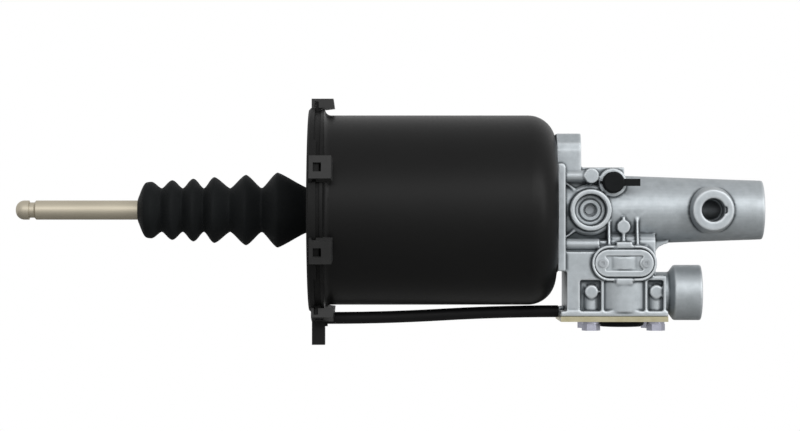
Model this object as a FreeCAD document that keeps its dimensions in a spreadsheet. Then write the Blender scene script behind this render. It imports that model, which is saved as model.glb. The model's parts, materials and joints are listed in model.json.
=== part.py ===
import FreeCAD, Part
import math
import os
import re

import Sketcher

# Clutch servo: air cylinder with a push rod, and a cast valve housing on its end.
# The row's frame: X along the push rod's axis towards the housing, Z up, and the origin
# at the centre of the cover's front mounting face. Lengths are millimetres.

SIZES = {
    # Push rod and its rubber boot
    "rod_radius": (6.0, "push rod shaft"),
    "rod_reach": (183.4, "rod tip in front of the mounting face"),
    "rod_head_length": (8.4, "rounded head of the rod"),
    "rod_neck_radius": (4.8, "groove behind the rod head"),
    "rod_neck_length": (4.4, "groove behind the rod head"),
    "rod_lip_depth": (1.0, "groove that holds the small end of the boot"),
    "boot_length": (107.0, "boot in front of the mounting face"),
    "boot_small_peak": (18.0, "outer radius of the first fold"),
    "boot_large_peak": (23.7, "outer radius of the last fold"),
    "boot_valley": (13.7, "outer radius between the folds"),
    "boot_short_pitch": (13.15, "spacing of the four small folds"),
    "boot_first_fold": (8.2, "middle of the first fold behind the tip of the boot"),
    "boot_last_fold": (19.85, "middle of the last fold in front of the mounting face"),
    "boot_wall": (2.2, "radial wall of the boot"),
    "boot_round": (1.5, "rounding of the folds"),
    "boot_neck_radius": (14.3, "neck of the boot in the cover"),
    # Front cover and its clips
    "cover_radius": (63.75, "rim of the cover"),
    "cover_step_radius": (61.8, "rim behind the step"),
    "cover_rim": (5.6, "length of the full rim"),
    "cover_rim_low": (4.0, "length of the rim above and below"),
    "cover_rim_height": (42.5, "height where the rim steps back"),
    "cover_length": (8.0, "mounting face to the can flange"),
    "cover_web": (6.0, "thickness of the cover plate"),
    "spigot_length": (8.0, "register inside the can mouth"),
    "spigot_wall": (4.8, "wall of that register"),
    "bush_radius": (9.0, "outside of the rod bush"),
    "bush_length": (12.0, "length of the rod bush"),
    "hub_radius": (20.0, "hub of the cover around the bush"),
    "bolt_circle_radius": (46.0, "mounting holes in the cover"),
    "bolt_hole_radius": (3.35, "mounting hole, core of the thread"),
    "bolt_hole_depth": (14.0, "mounting hole"),
    "bolt_boss_radius": (7.0, "boss behind a mounting hole"),
    "clip_width": (15.0, "snap clip along the rim"),
    "clip_stand": (5.55, "outer face of a snap clip above the rim"),
    "clip_sheet": (1.7, "thickness of a snap clip"),
    "clip_start": (1.6, "front edge of a clip"),
    "clip_end": (15.9, "rear edge of a clip"),
    "clip_grip": (0.9, "inner ends of a clip inside the can's flange"),
    "clip_window_length": (5.0, "window in a clip"),
    "clip_window_width": (5.9, "window in a clip"),
    "leg_bottom": (84.0, "lowest point of the vent lug below the axis"),
    "leg_half_width": (5.2, "half of the vent lug's width"),
    # Cylinder can
    "can_radius": (59.1, "outside of the can"),
    "can_length": (145.5, "can from its flange to its end wall"),
    "can_wall": (1.8, "sheet of the can"),
    "can_flange_radius": (63.2, "flange of the can"),
    "can_flare": (4.0, "fillet of the flange"),
    "can_corner": (17.0, "outer corner of the end wall"),
    # Running gaps
    "run_gap": (0.05, "radial running fit"),
    "seal_gap": (0.1, "radial gap at a seal"),
    "soft_gap": (0.3, "gap beside moving or soft pieces"),
    # Air piston and plunger
    "piston_front": (24.0, "air piston face, rod fully out"),
    "piston_web": (8.0, "disc of the air piston"),
    "piston_rim": (18.0, "rim of the air piston along the axis"),
    "piston_rim_wall": (7.0, "radial wall of the rim"),
    "piston_hub_radius": (14.5, "hub of the air piston"),
    "piston_hub_end": (52.0, "rear end of the hub"),
    "seal_groove_depth": (4.2, "groove of the piston seal"),
    "seal_groove_width": (6.5, "groove of the piston seal"),
    "guide_groove_depth": (2.0, "groove of the guide ring"),
    "guide_groove_width": (5.0, "groove of the guide ring"),
    "plunger_radius": (8.0, "hydraulic plunger"),
    "plunger_reach": (17.5, "free end of the plunger beyond the seat, rod fully out"),
    "spring_radius": (24.0, "coil radius of the piston spring"),
    "spring_wire": (1.75, "wire radius of the piston spring"),
    "spring_turns": (6, "turns of the piston spring"),
    # Housing
    "seat_plate": (4.8, "plate against the can's end wall"),
    "seat_top": (28.6, "upper edge of the seat plate"),
    "seat_bottom": (37.6, "lower edge of the seat plate"),
    "seat_half_width": (30.0, "half of the seat plate's width"),
    "seat_round": (2.3, "rounded upper edge of the seat plate"),
    "screw_side": (24.0, "fixing screws beside the axis"),
    "screw_level": (21.0, "fixing screws above and below the axis"),
    "screw_boss_radius": (3.4, "bosses of the fixing screws"),
    "air_drop": (33.5, "air passage below the axis"),
    "spigot_radius": (18.0, "register in the can's centre hole"),
    "spigot_reach": (3.5, "register beyond the seat"),
    "gland_radius": (15.0, "bore for the plunger's gland"),
    "gland_length": (10.0, "gland around the plunger"),
    "tube_radius": (22.9, "hydraulic tube at the seat"),
    "tube_tip_radius": (18.35, "hydraulic tube at its free end"),
    "tube_length": (129.1, "hydraulic tube from the seat"),
    "bore_radius": (10.0, "hydraulic bore"),
    "tube_end_wall": (10.0, "closed end of the tube"),
    "port_distance": (95.8, "hydraulic port from the seat"),
    "port_radius": (12.65, "face of the hydraulic port"),
    "port_root_radius": (14.7, "root of the hydraulic port"),
    "port_height": (29.0, "face of the hydraulic port from the axis"),
    "port_hole_radius": (7.2, "hydraulic port, core of the thread"),
    "port_hole_depth": (14.0, "hydraulic port thread"),
    "port_passage_radius": (6.2, "passage from the thread to the bore"),
    "blank_distance": (20.4, "blanked port from the seat"),
    "blank_radius": (12.8, "face of the blanked port"),
    "blank_rim": (2.9, "rim of the blanked port"),
    "blank_depth": (9.0, "recess of the blanked port"),
    "collar_radius": (15.8, "collar around the blanked port"),
    "collar_face": (18.5, "collar from the axis"),
    "sleeve_radius": (6.75, "pressed sleeve in the blanked port"),
    "sleeve_bore": (4.0, "bore of the sleeve and seat of its pin"),
    "front_face": (28.0, "front faces of the housing from the axis"),
    "lug_length": (15.2, "top block along the axis"),
    "lug_top": (47.5, "top block above the axis"),
    "lug_half_width": (17.0, "half of the top block's width"),
    "lug_bevel": (6.0, "bevel of the top block"),
    "lug_hole_radius": (3.35, "hole in the top block, core of the thread"),
    "lug_hole_depth": (16.0, "hole in the top block"),
    "shelf_length": (42.0, "shelf beside the top block"),
    "shelf_top": (26.4, "top of the shelf"),
    "shelf_half_width": (15.5, "half of the shelf's width"),
    "bleed_distance": (34.4, "bleeder from the seat"),
    "bleed_height": (17.0, "bleeder above the axis"),
    "bleed_boss_radius": (8.7, "boss of the bleeder"),
    "bleed_hole_radius": (4.0, "bleeder thread"),
    "cap_radius": (6.6, "dust cap"),
    # Valve block
    "valve_distance": (41.0, "valve axis from the seat"),
    "valve_bore_radius": (15.0, "valve chamber"),
    "control_bore_radius": (6.0, "bore of the control piston"),
    "valve_drum_radius": (22.0, "drum on the front of the block"),
    "valve_drum_face": (29.2, "front of the drum from the axis"),
    "valve_drum_half": (14.0, "half of the drum's width"),
    "block_back": (35.3, "block from the valve axis towards the can"),
    "block_side": (25.7, "block from the valve axis towards the port"),
    "block_bottom": (62.6, "underside of the block"),
    "block_shoulder": (40.5, "top of the wide part of the block"),
    "block_top": (19.0, "top of the block, inside the tube"),
    "pocket_top": (43.2, "top of the pockets below the axis"),
    "block_narrow": (19.8, "upper part of the block from the valve axis towards the port"),
    "block_front_top": (25.6, "top of the front face below the axis"),
    "pocket_depth": (5.5, "pockets in the front of the block"),
    "bolt_spacing": (40.0, "base bolts, square pattern"),
    "bolt_radius": (3.0, "base bolts"),
    "bolt_boss": (5.0, "bosses of the base bolts"),
    "flange_thickness": (3.0, "cast flange over the base plate"),
    "flange_left": (39.0, "cast flange from the valve axis towards the can"),
    "flange_right": (27.0, "cast flange from the valve axis towards the port"),
    "plate_thickness": (3.2, "base plate"),
    "supply_height": (51.5, "supply port below the axis"),
    "supply_radius": (17.25, "supply port"),
    "supply_neck_radius": (12.9, "neck of the supply port"),
    "supply_start": (73.7, "body of the supply port from the seat"),
    "supply_length": (17.0, "body of the supply port"),
    "supply_hole_radius": (10.2, "supply port, core of the thread"),
    "supply_hole_depth": (16.0, "supply port thread"),
    "oval_length": (40.0, "oval rim on the block"),
    "oval_height": (21.9, "oval rim on the block"),
    "oval_drop": (32.7, "oval rim below the axis"),
    "tab_reach": (12.8, "end of the oval cover's lower tab below its middle"),
    "oval_rim": (1.6, "width of the oval rim"),
    "oval_screw_spacing": (26.7, "screws of the oval cover"),
    "oval_screw_radius": (1.5, "screws of the oval cover"),
    # Vent tube
    "vent_radius": (3.75, "outside of the vent tube"),
    "vent_bore": (2.35, "bore of the vent tube"),
    "vent_front_drop": (67.4, "vent tube at the cover below the axis"),
    "vent_rear_drop": (63.2, "vent tube at the housing below the axis"),
    "nipple_length": (9.0, "nipples inside the vent tube"),
}

DOC = FreeCAD.newDocument("ClutchServo")
SHEET = DOC.addObject("Spreadsheet::Sheet", "Sizes")

# Places that several pieces share, as formulas of the sheet
SEAT = "(cover_length + can_length)"
VALVE = f"({SEAT} + valve_distance)"
CAN_BORE = "(can_radius - can_wall)"
CLIP_TOP = "(cover_radius + clip_stand)"
CLIP_FOOT = "(can_flange_radius - clip_grip)"
PLATE_TOP = "(-block_bottom - flange_thickness)"
PLATE_BOTTOM = "(-block_bottom - flange_thickness - plate_thickness)"
OVAL_PLATE_HEIGHT = "(oval_height - 2 * oval_rim - 2)"

# Directions for cylinders, whose own axis is Z
TURN = {
    "X": FreeCAD.Rotation(FreeCAD.Vector(0, 1, 0), 90),
    "-X": FreeCAD.Rotation(FreeCAD.Vector(0, 1, 0), -90),
    "Y": FreeCAD.Rotation(FreeCAD.Vector(1, 0, 0), -90),
    "-Y": FreeCAD.Rotation(FreeCAD.Vector(1, 0, 0), 90),
    "Z": FreeCAD.Rotation(),
    "-Z": FreeCAD.Rotation(FreeCAD.Vector(1, 0, 0), 180),
}

NODES = {}


def fill_sheet():
    """Write every driving dimension into the sheet under its alias."""
    for row, (alias, (value, note)) in enumerate(SIZES.items(), start=1):
        SHEET.set(f"A{row}", note)
        SHEET.set(f"B{row}", str(value))
        SHEET.setAlias(f"B{row}", alias)
    DOC.recompute()


def size(alias):
    """One driving dimension, read back from the sheet."""
    return float(SHEET.get(alias))


def formula(text):
    """Put the sheet's name before each alias in a formula."""
    def named(word):
        return f"Sizes.{word.group()}" if word.group() in SIZES else word.group()
    return re.sub(r"[a-z][a-z_]+", named, str(text))


def bind(item, prop, text):
    """Tie one property of an object to a formula of the sheet."""
    item.setExpression(prop, formula(text))


def place(item, spot, turn="Z"):
    """Put an object at a spot given by three formulas, turned to a direction."""
    item.Placement = FreeCAD.Placement(FreeCAD.Vector(), TURN[turn])
    for name, text in zip("xyz", spot):
        bind(item, f"Placement.Base.{name}", text)
    return item


def block(name, x, y, z):
    """A box between two formulas along each direction."""
    item = DOC.addObject("Part::Box", name)
    for prop, (low, high) in zip(("Length", "Width", "Height"), (x, y, z)):
        bind(item, prop, f"({high}) - ({low})")
    return place(item, (x[0], y[0], z[0]))


def slab(name, x, half_width, z):
    """A box that is centred on the XZ plane."""
    return block(name, x, (f"-({half_width})", half_width), z)


def drum(name, radius, length, spot, turn):
    """A cylinder from a spot along a direction."""
    item = DOC.addObject("Part::Cylinder", name)
    bind(item, "Radius", radius)
    bind(item, "Height", length)
    return place(item, spot, turn)


def taper(name, start, end, length, spot, turn):
    """A cone frustum from a spot along a direction, from one radius to another."""
    item = DOC.addObject("Part::Cone", name)
    bind(item, "Radius1", start)
    bind(item, "Radius2", end)
    bind(item, "Height", length)
    return place(item, spot, turn)


def join(name, items):
    """The union of several objects."""
    item = DOC.addObject("Part::MultiFuse", name)
    item.Shapes = items
    item.Refine = True
    return item


def carve(name, base, tools):
    """One object with the others taken away."""
    item = DOC.addObject("Part::Cut", name)
    item.Base = base
    item.Tool = tools[0] if len(tools) == 1 else join(name + "_tools", tools)
    item.Refine = True
    return item


def shared(name, items):
    """The space that several objects have in common."""
    item = DOC.addObject("Part::MultiCommon", name)
    item.Shapes = items
    return item


def ring_of(name, item, angles):
    """The same object repeated about the X axis at several angles."""
    DOC.recompute()
    middle = FreeCAD.Vector()
    along = FreeCAD.Vector(1, 0, 0)
    pieces = [item.Shape.rotated(middle, along, angle) for angle in angles]
    ring = DOC.addObject("Part::Feature", name)
    ring.Shape = Part.makeCompound(pieces)
    return ring


def node(label, item):
    """Name a finished sub-part after its node."""
    item.Label = label
    NODES[label] = item
    return item


def outline(body, plane_role, points, name="Outline"):
    """A closed sketch whose corners follow formulas of the sheet."""
    plane = next(f for f in body.Origin.OriginFeatures if f.Role == plane_role)
    sketch = body.newObject("Sketcher::SketchObject", name)
    sketch.AttachmentSupport = [(plane, "")]
    sketch.MapMode = "FlatFace"
    count = len(points)
    turn = 2 * math.pi / count
    first = [FreeCAD.Vector(math.cos(turn * k), math.sin(turn * k), 0) for k in range(count)]
    for k in range(count):
        sketch.addGeometry(Part.LineSegment(first[k], first[(k + 1) % count]), False)
    for k in range(count):
        sketch.addConstraint(Sketcher.Constraint("Coincident", k, 2, (k + 1) % count, 1))
    for k, corner in enumerate(points):
        spots = (first[k].x, first[k].y)
        for kind, text, value in zip(("DistanceX", "DistanceY"), corner, spots):
            index = sketch.addConstraint(Sketcher.Constraint(kind, -1, 1, k, 1, value))
            bind(sketch, f"Constraints[{index}]", text)
    return sketch


def turned(label, points, axis="X", spot=("0", "0", "0")):
    """A turned body. Corners are along-and-radius for X, radius-and-height for Z and Y."""
    plane = "XY_Plane" if axis == "Y" else "XZ_Plane"
    body = DOC.addObject("PartDesign::Body", label)
    sketch = outline(body, plane, points)
    feature = body.newObject("PartDesign::Revolution", "Turn")
    feature.Profile = sketch
    feature.ReferenceAxis = (sketch, ["H_Axis" if axis == "X" else "V_Axis"])
    feature.Angle = 360
    sketch.Visibility = False
    place(body, spot)
    return body


def rings(shape, wanted, slack=0.02):
    """Names of the round edges about X at the wanted places and radii."""
    names = []
    for index, edge in enumerate(shape.Edges, start=1):
        if not isinstance(edge.Curve, Part.Circle):
            continue
        centre = edge.Curve.Center
        for along, radius in wanted:
            if abs(centre.x - along) < slack and abs(edge.Curve.Radius - radius) < slack:
                names.append(f"Edge{index}")
    return names


def rounded(body, radius, wanted, name="Rounding"):
    """Round the ring edges of a turned body at the wanted places."""
    DOC.recompute()
    base = body.Tip
    names = rings(base.Shape, wanted)
    feature = body.newObject("PartDesign::Fillet", name)
    feature.Base = (base, names)
    bind(feature, "Radius", radius)
    return body


def make_push_rod():
    """Round steel rod: domed head, neck, shaft and the groove for the boot."""
    tip = "-rod_reach"
    head = "(-rod_reach + rod_head_length)"
    shaft = f"({head} + rod_neck_length)"
    lip = "-boot_length"
    points = [
        (tip, "0"),
        (tip, "rod_radius"),
        (head, "rod_radius"),
        (head, "rod_neck_radius"),
        (f"{shaft} - (rod_radius - rod_neck_radius)", "rod_neck_radius"),
        (shaft, "rod_radius"),
        (lip, "rod_radius"),
        (lip, "rod_radius - rod_lip_depth"),
        (f"{lip} + 4", "rod_radius - rod_lip_depth"),
        (f"{lip} + 4", "rod_radius"),
        ("piston_front + piston_web", "rod_radius"),
        ("piston_front + piston_web", "0"),
    ]
    body = turned("push_rod", points)
    rounded(body, "rod_radius * 0.9", [(-size("rod_reach"), size("rod_radius"))])
    return node("push_rod", body)


def fold_places():
    """Places of the six folds of the boot, from the small end, as formulas."""
    first = "(-boot_length + boot_first_fold)"
    places = [f"({first} + {k} * boot_short_pitch)" for k in range(4)]
    long_pitch = "((boot_length - boot_last_fold - boot_first_fold - 3 * boot_short_pitch) / 2)"
    places += [f"({places[3]} + {k} * {long_pitch})" for k in (1, 2)]
    return places


def fold_radius(place, places):
    """Outer radius of a fold, which grows evenly along the boot, as a formula."""
    share = f"({place} - {places[0]}) / ({places[-1]} - {places[0]})"
    return f"(boot_small_peak + (boot_large_peak - boot_small_peak) * {share})"


def make_boot():
    """Rubber bellows with six folds between the rod and the cover."""
    places = fold_places()
    outer = [
        ("-boot_length", "rod_radius + soft_gap"),
        ("-boot_length", "rod_radius + 1"),
        ("-boot_length + 1.2", "boot_valley - 4.6"),
        ("-boot_length + 2.4", "boot_valley - 0.8"),
        ("-boot_length + 4.6", "boot_small_peak - 0.8"),
    ]
    inner = [
        ("-boot_length + 5.4", "rod_radius + soft_gap"),
        ("-boot_length + 3.4", "rod_radius + soft_gap"),
        ("-boot_length + 3.4", "rod_radius + soft_gap - rod_lip_depth"),
        ("-boot_length + 0.6", "rod_radius + soft_gap - rod_lip_depth"),
        ("-boot_length + 0.6", "rod_radius + soft_gap"),
    ]
    folds_inside = []
    for k, spot in enumerate(places):
        peak = fold_radius(spot, places)
        outer.append((spot, peak))
        folds_inside.append((spot, f"{peak} - boot_wall"))
        if k < 5:
            valley = f"({spot} + {places[k + 1]}) / 2"
            outer.append((valley, "boot_valley"))
            folds_inside.append((valley, "boot_valley - boot_wall"))
    neck_end = "cover_web + 1"
    outer += [
        ("-1.4", "boot_valley"),
        ("soft_gap", "boot_neck_radius"),
        (neck_end, "boot_neck_radius"),
        (neck_end, "boot_neck_radius - boot_wall"),
        ("-1", "boot_valley - boot_wall"),
    ]
    points = outer + folds_inside[::-1] + inner
    body = turned("boot", points)
    DOC.recompute()
    peaks = []
    for vertex in body.Tip.Shape.Vertexes:
        radius = math.hypot(vertex.Y, vertex.Z)
        tip = size("boot_first_fold") - size("boot_round") - size("boot_length")
        near_fold = tip < vertex.X < -size("boot_round")
        if near_fold and radius > size("boot_valley") - 0.01:
            peaks.append((vertex.X, radius))
    rounded(body, "boot_round", peaks)
    return node("boot", body)


# Angles of the snap clips about the axis, from straight up towards the front
RIM_ANGLES = [0, 68.1, 111.9, 168, 192, 248.1, 291.9]


def make_cover():
    """Moulded front cover: rim, plate, hub for the bush, register and vent lug."""
    spigot = f"({CAN_BORE} - 0.5)"
    inside = f"({spigot} - spigot_wall)"
    end = "(cover_length + spigot_length)"
    hub_end = "(cover_length + bush_length)"
    pocket = "(boot_neck_radius + soft_gap)"
    body = turned("cover_body", [
        ("0", pocket),
        ("0", "cover_radius - 1.2"),
        ("1.2", "cover_radius"),
        ("cover_rim", "cover_radius"),
        ("cover_rim", "cover_step_radius"),
        ("cover_length", "cover_step_radius"),
        ("cover_length", spigot),
        (end, spigot),
        (end, inside),
        ("cover_web", inside),
        ("cover_web", "hub_radius"),
        (hub_end, "hub_radius"),
        (hub_end, "bush_radius + run_gap"),
        ("cover_length", "bush_radius + run_gap"),
        ("cover_length", pocket),
    ])
    boss = drum("bolt_boss", "bolt_boss_radius", f"{end} - 3", ("3", "0", "bolt_circle_radius"), "X")
    hole = drum("bolt_hole", "bolt_hole_radius", "bolt_hole_depth + 1",
                ("-1", "0", "bolt_circle_radius"), "X")
    nose = slab("clip_nose", ("clip_start + 2.9", "clip_start + 5.7"),
                "clip_window_width / 2 - 0.4", ("cover_step_radius - 2", f"{CLIP_TOP} - 2.2"))
    foot = slab("clip_slot", ("clip_start - soft_gap", "clip_start + clip_sheet + soft_gap"),
                "clip_width / 2 + soft_gap", (f"{CLIP_FOOT} - soft_gap", f"{CLIP_TOP} + 5"))
    leg = [slab("vent_leg", ("1.7", "cover_length + can_wall"), "leg_half_width",
                ("-leg_bottom", "-can_flange_radius - soft_gap")),
           slab("vent_leg_root", ("1.7", "cover_length"), "leg_half_width",
                ("-can_flange_radius - 1", "-cover_radius + 4"))]
    flange_room = drum("flange_room", "can_flange_radius + soft_gap", "9",
                       ("cover_length", "0", "0"), "X")
    socket = carve("vent_socket", drum("vent_socket_round", "vent_radius + 1.45", "9",
                                       ("2.4", "0", "-vent_front_drop"), "X"), [flange_room])
    nipple = drum("vent_nipple", "vent_bore - run_gap", "nipple_length + 1",
                  ("10.4", "0", "-vent_front_drop"), "X")
    passage = drum("vent_passage", "1.2", "nipple_length + 8",
                   ("5", "0", "-vent_front_drop"), "X")
    riser = drum("vent_riser", "1.6", f"vent_front_drop - {inside} + 4",
                 ("cover_web - 0.5", "0", "-vent_front_drop"), "Z")
    step = drum("rim_step", "cover_radius + 1", "cover_rim - cover_rim_low",
                ("cover_rim_low", "0", "0"), "X")
    core = drum("rim_core", "cover_step_radius", "cover_length",
                ("0", "0", "0"), "X")
    middle = slab("rim_middle", ("0", "cover_length"), "cover_radius + 2",
                  ("-cover_rim_height", "cover_rim_height"))
    low_rim = carve("rim_low", step, [core, middle])
    bosses = ring_of("bolt_bosses", boss, [45, 135, 225, 315])
    holes = ring_of("bolt_holes", hole, [45, 135, 225, 315])
    noses = ring_of("clip_noses", nose, RIM_ANGLES)
    slots = ring_of("clip_slots", foot, RIM_ANGLES)
    solid = join("cover_solid", [body, bosses, noses, socket, nipple] + leg)
    seal_groove = turned("cover_groove", [
        (f"{end} - 5.4", f"{spigot} - 2.4"),
        (f"{end} - 5.4", f"{spigot} + 1"),
        (f"{end} - 2.2", f"{spigot} + 1"),
        (f"{end} - 2.2", f"{spigot} - 2.4"),
    ])
    tools = [low_rim, holes, slots, seal_groove, passage, riser]
    return node("cover", carve("cover_cut", solid, tools))


def make_cover_seal():
    """Rubber ring between the register of the cover and the can."""
    middle = "(cover_length + spigot_length - 3.8)"
    ring = DOC.addObject("Part::Torus", "cover_ring")
    bind(ring, "Radius1", f"{CAN_BORE} - seal_gap - 1.3")
    bind(ring, "Radius2", "1.3")
    place(ring, (middle, "0", "0"), "X")
    return node("cover_seal", ring)


def make_clips():
    """Sheet snap clips that hold the can's flange against the cover."""
    top = CLIP_TOP
    under = f"({CLIP_TOP} - clip_sheet)"
    hook = "(clip_end - clip_sheet)"
    lip = "(cover_length + can_wall + soft_gap)"
    body = DOC.addObject("PartDesign::Body", "clip_body")
    sketch = outline(body, "XZ_Plane", [
        ("clip_start", CLIP_FOOT),
        ("clip_start", top),
        ("clip_end - 0.8", top),
        ("clip_end", f"{CLIP_FOOT} + 1"),
        (lip, f"{CLIP_FOOT} + 0.3"),
        (lip, f"{CLIP_FOOT} + 1.7"),
        (f"{hook} - 0.1", f"{CLIP_FOOT} + 2.4"),
        (f"{hook} - 0.5", under),
        ("clip_start + clip_sheet", under),
        ("clip_start + clip_sheet", CLIP_FOOT),
    ])
    pad = body.newObject("PartDesign::Pad", "Strip")
    pad.Profile = sketch
    bind(pad, "Length", "clip_width")
    pad.Midplane = True
    window_at = "(clip_start + 2.5)"
    window = slab("clip_window", (window_at, f"{window_at} + clip_window_length"),
                  "clip_window_width / 2", (f"{under} - 1", f"{top} + 1"))
    cheeks = [block(f"clip_cheek_{k}", ("cover_rim + 0.4", hook), (low, high),
                    ("can_flange_radius + 0.35", f"{under} + 0.2"))
              for k, (low, high) in enumerate([("-clip_width / 2", "-clip_width / 2 + 1.2"),
                                               ("clip_width / 2 - 1.2", "clip_width / 2")])]
    clip = carve("clip_cut", join("clip_solid", [body] + cheeks), [window])
    return node("retaining_clips", ring_of("clip_ring", clip, RIM_ANGLES))


def make_guide_bush():
    """Plain bush that guides the push rod in the cover."""
    start = "(cover_length + 0.4)"
    end = "(cover_length + bush_length)"
    return node("guide_bush", turned("guide_bush", [
        (start, "rod_radius + run_gap"),
        (start, "bush_radius"),
        (end, "bush_radius"),
        (end, "rod_radius + run_gap"),
    ]))


def make_can():
    """Deep-drawn can with a flared flange and a rounded end wall."""
    front = "cover_length"
    flange_back = "(cover_length + can_wall)"
    hole = "(spigot_radius + soft_gap)"
    body = turned("can_body", [
        (front, CAN_BORE),
        (front, "can_flange_radius"),
        (flange_back, "can_flange_radius"),
        (flange_back, "can_radius"),
        (SEAT, "can_radius"),
        (SEAT, hole),
        (f"{SEAT} - can_wall", hole),
        (f"{SEAT} - can_wall", CAN_BORE),
    ])
    seat = size("cover_length") + size("can_length")
    wall = size("can_wall")
    rounded(body, "can_flare", [(size("cover_length") + wall, size("can_radius"))], "Flare")
    rounded(body, "can_corner", [(seat, size("can_radius"))], "Corner")
    inner = [(seat - wall, size("can_radius") - wall)]
    rounded(body, "can_corner - can_wall", inner, "InnerCorner")
    screws = [drum(f"can_hole_{k}", "2.8", "can_wall + 2", (f"{SEAT} - can_wall - 1", y, z), "X")
              for k, (y, z) in enumerate(screw_spots())]
    air = drum("can_air_hole", "3.3", "can_wall + 2",
               (f"{SEAT} - can_wall - 1", "0", "-air_drop"), "X")
    return node("cylinder_can", carve("can_cut", body, screws + [air]))


def screw_spots():
    """The four fixing screws of the can, as Y and Z formulas."""
    return [(f"{side}screw_side", f"{level}screw_level") for side in "+-" for level in "+-"]


PISTON_RADIUS = f"({CAN_BORE} - 0.8)"
HUB_STEP = "(piston_front + piston_web)"


def make_air_piston():
    """Cast piston: disc, rim with two grooves, ribs and a hub for rod and plunger."""
    rim_inside = f"({PISTON_RADIUS} - piston_rim_wall)"
    rim_end = "(piston_front + piston_rim)"
    guide_end = f"({rim_end} - 1.2)"
    guide_start = f"({guide_end} - guide_groove_width)"
    seal_start = "(piston_front + 2.4)"
    seal_end = f"({seal_start} + seal_groove_width)"
    body = turned("piston_body", [
        ("piston_front", "rod_radius + run_gap"),
        ("piston_front", f"{PISTON_RADIUS} - 1"),
        ("piston_front + 1", PISTON_RADIUS),
        (seal_start, PISTON_RADIUS),
        (seal_start, f"{PISTON_RADIUS} - seal_groove_depth"),
        (seal_end, f"{PISTON_RADIUS} - seal_groove_depth"),
        (seal_end, PISTON_RADIUS),
        (guide_start, PISTON_RADIUS),
        (guide_start, f"{PISTON_RADIUS} - guide_groove_depth"),
        (guide_end, f"{PISTON_RADIUS} - guide_groove_depth"),
        (guide_end, PISTON_RADIUS),
        (rim_end, PISTON_RADIUS),
        (rim_end, rim_inside),
        (HUB_STEP, rim_inside),
        (HUB_STEP, "piston_hub_radius"),
        ("piston_hub_end", "piston_hub_radius"),
        ("piston_hub_end", "plunger_radius + run_gap"),
        (HUB_STEP, "plunger_radius + run_gap"),
        (HUB_STEP, "rod_radius + run_gap"),
    ])
    rib = slab("piston_rib", (f"{HUB_STEP} - 1", f"{HUB_STEP} + 6"), "1.5",
               ("spring_radius + 4", f"{rim_inside} + 1"))
    ribs = ring_of("piston_ribs", rib, [60 * k for k in range(6)])
    return node("air_piston", join("piston_cast", [body, ribs]))


def make_piston_seal():
    """Lip ring in the rim of the air piston, open towards the pressure side."""
    start = "(piston_front + 2.6)"
    end = f"({start} + seal_groove_width - 0.4)"
    inner = f"({PISTON_RADIUS} - seal_groove_depth + run_gap)"
    lip = f"({CAN_BORE} - 0.2)"
    middle = f"(({inner} + {lip}) / 2)"
    return node("piston_seal", turned("piston_seal", [
        (start, inner),
        (start, lip),
        (end, lip),
        (end, f"{lip} - 1.2"),
        (f"{end} - 3", middle),
        (end, f"{inner} + 1.2"),
        (end, inner),
    ]))


def make_guide_ring():
    """Plastic band that carries the air piston in the can."""
    end = "(piston_front + piston_rim - 1.3)"
    start = f"({end} - guide_groove_width + 0.2)"
    inner = f"({PISTON_RADIUS} - guide_groove_depth + run_gap)"
    return node("guide_ring", turned("guide_ring", [
        (start, inner),
        (start, f"{CAN_BORE} - 0.2"),
        (end, f"{CAN_BORE} - 0.2"),
        (end, inner),
    ]))


def make_plunger():
    """Ground steel plunger between the air piston and the hydraulic bore."""
    end = f"({SEAT} + plunger_reach)"
    return node("hydraulic_plunger", turned("hydraulic_plunger", [
        (HUB_STEP, "0"),
        (HUB_STEP, "plunger_radius"),
        (f"{end} - 1.5", "plunger_radius"),
        (end, "plunger_radius - 1.5"),
        (end, "0"),
    ]))


def half_turn(radius, wire, low, rise, back):
    """Half a ring of round wire that climbs by rise, from the +X side or, at the back, from -X."""
    middle = FreeCAD.Vector()
    upward = FreeCAD.Vector(0, 0, 1)
    across = FreeCAD.Vector(0, 1, 0)
    tilt = math.degrees(math.atan2(rise / 2, radius))
    arc = Part.makeTorus(math.hypot(radius, rise / 2), wire, middle, upward, 0, 360, 180)
    if back:
        arc = arc.rotated(middle, upward, 180)
        tilt = -tilt
    return arc.rotated(middle, across, tilt).translated(FreeCAD.Vector(0, 0, low + rise / 2))


def coil(label, radius, wire, turns, start, end, spot, turn):
    """Round wire wound between two stops, along Z before it is turned.

    The first and the last half turn lie flat on the stops, and those between climb evenly.
    """
    halves = 2 * turns
    climb = (end - start) / (halves - 2)
    arcs = []
    low = 0
    for k in range(halves):
        rise = 0 if k in (0, halves - 1) else climb
        arcs.append(half_turn(radius, wire, low, rise, k % 2))
        low += rise
    spring = DOC.addObject("Part::Feature", label)
    spring.Shape = arcs[0].multiFuse(arcs[1:])
    spring.Placement = FreeCAD.Placement(FreeCAD.Vector(*spot), TURN[turn])
    return node(label, spring)


def make_piston_spring():
    """Light spring that keeps the rod against the clutch lever."""
    wire = size("spring_wire")
    gap = size("soft_gap")
    start = size("piston_front") + size("piston_web") + gap + wire
    end = size("cover_length") + size("can_length") - size("can_wall") - gap - wire
    return coil("piston_spring", size("spring_radius"), wire, int(size("spring_turns")),
                start, end, (start, 0, 0), "X")


GLAND_START = f"({SEAT} - spigot_reach + 2.5)"


def make_gland():
    """Guide around the plunger, with the groove of its seal."""
    end = f"({GLAND_START} + gland_length)"
    bore = "(plunger_radius + run_gap)"
    return node("plunger_gland", turned("plunger_gland", [
        (GLAND_START, bore),
        (GLAND_START, "gland_radius - run_gap"),
        (end, "gland_radius - run_gap"),
        (end, f"{bore} + 3.4"),
        (f"{end} - 5", f"{bore} + 3.4"),
        (f"{end} - 5", bore),
    ]))


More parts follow.
